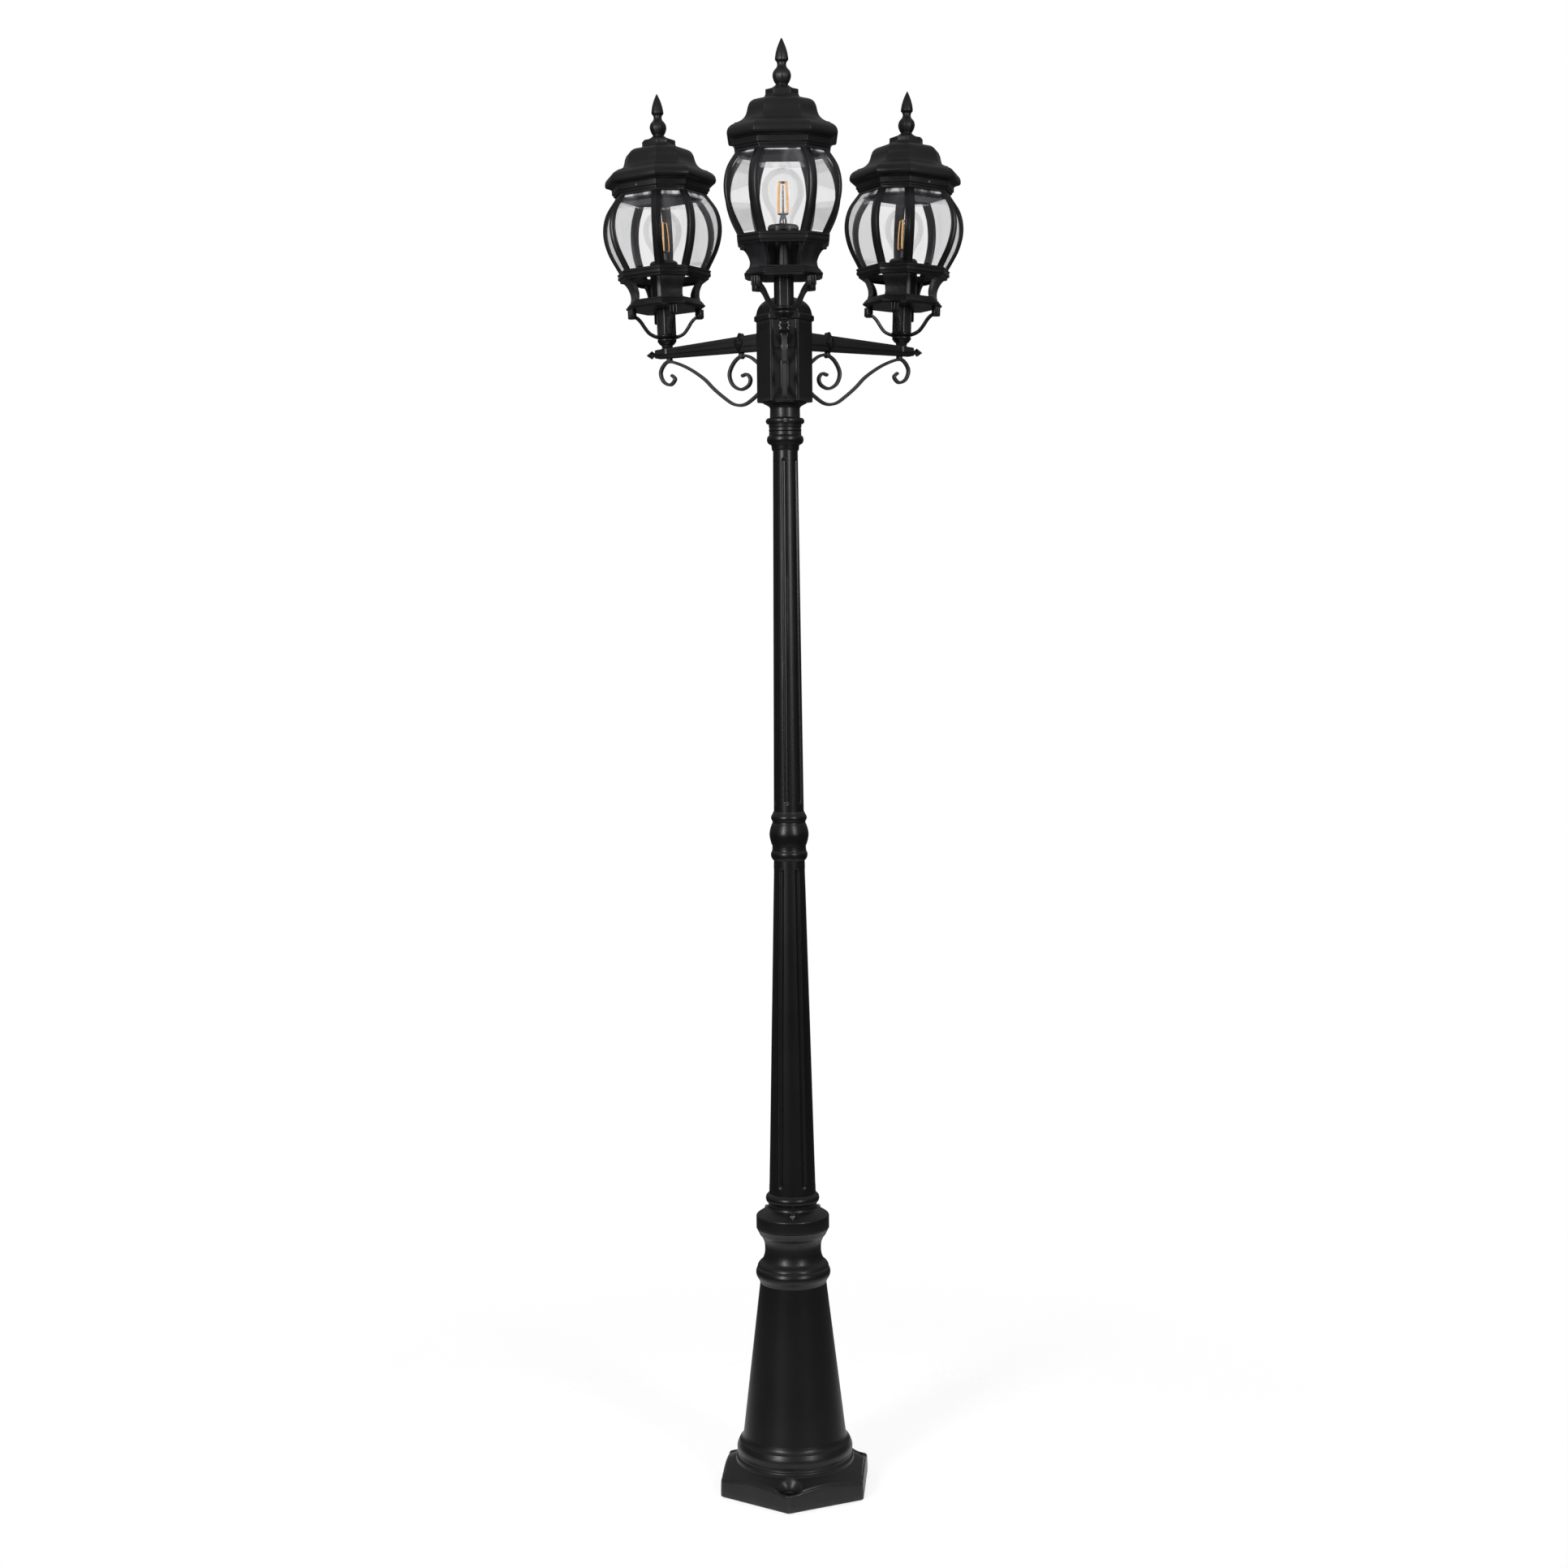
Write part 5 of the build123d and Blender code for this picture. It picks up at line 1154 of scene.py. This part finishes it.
glow, start = new_material("filament_glow")
hot = start.noise(420, 2)
surface(start, Base_Color=hot.band(0.3, 0.7).blend((0.7, 0.38, 0.12, 1), (0.85, 0.55, 0.25, 1)),
        Roughness=0.5 + 0.2 * hot, Emission_Strength=0.75,
        Emission_Color=hot.band(0.3, 0.7).blend((0.72, 0.36, 0.12, 1), (0.8, 0.5, 0.24, 1)))
strip_line = [(8.6, 0, 147), (9.2, 0, 152), (9.0, 0, 165), (8.0, 0, 180), (6.8, 0, 191)]
strips = piece("strips", swept_bar(strip_line, 2.5, 1.1, glow))
repeated(strips, 4, 39, glow)
mount = skin("mount", profile(
    [(5.8, 132.2), (5.0, 139), (3.4, 146), (3.2, 148.4)],
    *straight((3.2, 148.4), (1.4, 149.6), (0.9, 186)),
    ease=0.4), lambda radius: round_plan(radius, 32))
crown = skin("crown", profile(*straight((1.0, 188), (6.0, 190.2), (6.0, 191.2), (0.6, 191.8)), ease=0.2),
             lambda radius: round_plan(radius, 32))
collar = skin("collar", profile(*straight((3.6, 144.6), (7.6, 146), (7.6, 147.4), (2, 148)), ease=0.2),
              lambda radius: round_plan(radius, 32))
hang(strips.data, "filament_strips", glow, "filament", "filaments", body="SIDE_bulb")
bpy.data.objects.remove(strips)
# Painted highlight: the mount's glass is made far more opaque and pale than the envelope, standing in for
# the bright light it catches.
mount_glass = clear_glass("mount_glass", (0.85, 0.86, 0.88), 0.3, 0.5)
hang(mount, "glass_mount", mount_glass, "bulb_glass", None, body="SIDE_bulb", crease=50)
hang(join("wires", [crown, collar]), "filament_wires", cap_metal, "bulb_cap", None, body="SIDE_bulb")


# ---------------------------------------------------------------- roofs
# Spun and cast eight-sided roof: a fascia with two fine steps over the cage, a rounded eave, and
# a dome with a full shoulder and hollow foot. It lifts off when its two screws are slack.
roof_coat = powder_coat("satin_black_roof", 0.0065, 0.36, 1500)
roof_rows = profile(
    *straight((72.3, 236), (72.3, 232.5), (73.8, 232.5), (73.8, 234.8), (76.2, 236.4), (76.4, 244),
              (78.6, 245), (80.4, 246.6), (85.2, 247.4)),
    [(85.2, 247.4), (86.5, 250.5), (86.3, 254.6), (84.6, 258.8), (81.2, 262.4), (77, 265)],
    *straight((77, 265), (75.6, 265.4), (74.4, 266.8)),
    [(74.4, 266.8), (68.8, 268.6), (62.4, 272.4), (57.8, 277.4), (55.2, 283.6), (53.6, 290),
     (50.4, 296.4), (44.6, 300.6), (37.6, 302.6), (31.8, 303)],
    *straight((31.8, 303), (6, 303), (6, 299), (31, 299)),
    [(31, 299), (44, 294.5), (49.4, 287.6), (52.4, 279), (58.6, 270.4), (67.6, 259.4)],
    *straight((67.6, 259.4), (66, 237), (72.3, 236)),
    ease=0.55)
hang(skin("roof", roof_rows[:-1], octagon, ring_shaped=True), "roof_shell", roof_coat,
     "black_casting", "roof", body="SIDE_roof", crease=24)

# Two small slotted grub screws in the fascia hold each roof to its cage.
slotted = piece("roof_grub", skin("grub", profile(
    *straight((1.5, 63.2), (1.8, 63.6), (1.8, 68.3), (1.5, 68.7)),
    ease=0.1),
                                  lambda radius: round_plan(radius, 24)))
slot_tool = closed_mesh("slot", [[(-0.3, -3, 68), (0.3, -3, 68), (0.3, 3, 68), (-0.3, 3, 68)],
                                 [(-0.3, -3, 70), (0.3, -3, 70), (0.3, 3, 70), (-0.3, 3, 70)]])
cut(slotted, slot_tool)
slotted.data.transform(Matrix.Translation((0, 0, 239.5 * MM)) @ Matrix.Rotation(math.pi / 2, 4, "X"))
repeated(slotted, 2, 0, screw_steel)
hang(slotted.data, "roof_grub_screws", screw_steel, "screw_steel", "roof_screws", body="SIDE_roof")
bpy.data.objects.remove(slotted)


# ---------------------------------------------------------------- finials
# The cast cap block, faceted ball and spear that screw down on the roof's rod.
block_rows = profile(
    [(30.5, 303.1), (30.4, 304.2)],
    [(30.4, 304.2), (27.4, 306.2), (26, 309.4)],
    *straight((26, 309.4), (26, 315), (25.4, 316), (21.8, 316.6)),
    [(21.8, 316.6), (15.4, 319), (9.4, 323.4)],
    [(9.4, 323.4), (6, 324)],
    ease=0.5)
ball_rows = profile(
    [(8.4, 322), (8.8, 324.4)],
    [(8.8, 324.4), (11.4, 328.6), (13.2, 334), (13.3, 338), (11.8, 342.6), (7.6, 347.6)],
    [(7.6, 347.6), (6.6, 350.6)],
    [(6.6, 350.6), (7.2, 354.4), (9.6, 357.4)],
    [(9.6, 357.4), (9.8, 359.4), (9.2, 364), (8.2, 369), (5.9, 376.4), (3.0, 383), (0.7, 387.6)],
    ease=0.4)
finial = join("finial", [skin("block", block_rows, octagon),
                         skin("ball", ball_rows, cornered(range(0, 360, 45), 1.6, 4, 1))])
hang(finial, "finial_spear", roof_coat, "black_casting", "finial", body="SIDE_roof", crease=30)


# ---------------------------------------------------------------- floor and lights
# A plain white disc of floor that fades out into a white surround, with dim studio walls behind
# the camera and two tall soft lamps that give the castings their paired upright highlights.
ground = piece("ground", skin("ground", [(1500, -4), (1500, 0)]))
white, start = new_material("white_floor")
spot = start.node("ShaderNodeTexCoord", {}, {}, "Object")
away = start.node("ShaderNodeVectorMath", {"operation": "LENGTH"}, {0: spot}, "Value")
surface(start, Base_Color=start.noise(2, 2).blend((0.88, 0.88, 0.88, 1), (0.9, 0.9, 0.9, 1)), Roughness=0.9,
        Alpha=0.4 * (1 - away.band(0.15, 1.3)), Emission_Color=(1, 1, 1, 1), Emission_Strength=0.55)
ground.data.materials.append(white)

world = bpy.data.worlds.new("surround")
bpy.context.scene.world = world
world.use_nodes = True
world.node_tree.nodes.clear()
start = Value(world.node_tree)
seen = start.node("ShaderNodeLightPath", {}, {}, "Is Camera Ray")
facing = start.node("ShaderNodeTexCoord", {}, {}, "Generated")
height = start.node("ShaderNodeSeparateXYZ", {}, {"Vector": facing}, "Z")
room = height.band(-0.2, 0.8).blend((0.045, 0.045, 0.048, 1), (0.3, 0.3, 0.31, 1))
surround = start.node("ShaderNodeBackground", {},
                      {"Color": seen.blend(room, (1, 1, 1, 1)), "Strength": 1.0})
start.node("ShaderNodeOutputWorld", {}, {"Surface": surround})

for name, place, aim, size, power in (("left_softbox", (-2.0, -2.9, 2.3), (0, 0, 1.9), (0.7, 2.0), 62),
                                      ("right_softbox", (1.9, -2.8, 2.4), (0, 0, 1.9), (0.5, 2.0), 36)):
    lamp = bpy.data.objects.new(name, bpy.data.lights.new(name, "AREA"))
    bpy.context.scene.collection.objects.link(lamp)
    lamp.data.shape = "RECTANGLE"
    lamp.data.size, lamp.data.size_y = size
    lamp.data.energy = power
    lamp.location = place
    lamp.rotation_euler = (Vector(aim) - Vector(place)).to_track_quat("-Z", "Y").to_euler()
bpy.context.scene.view_settings.view_transform = "Standard"
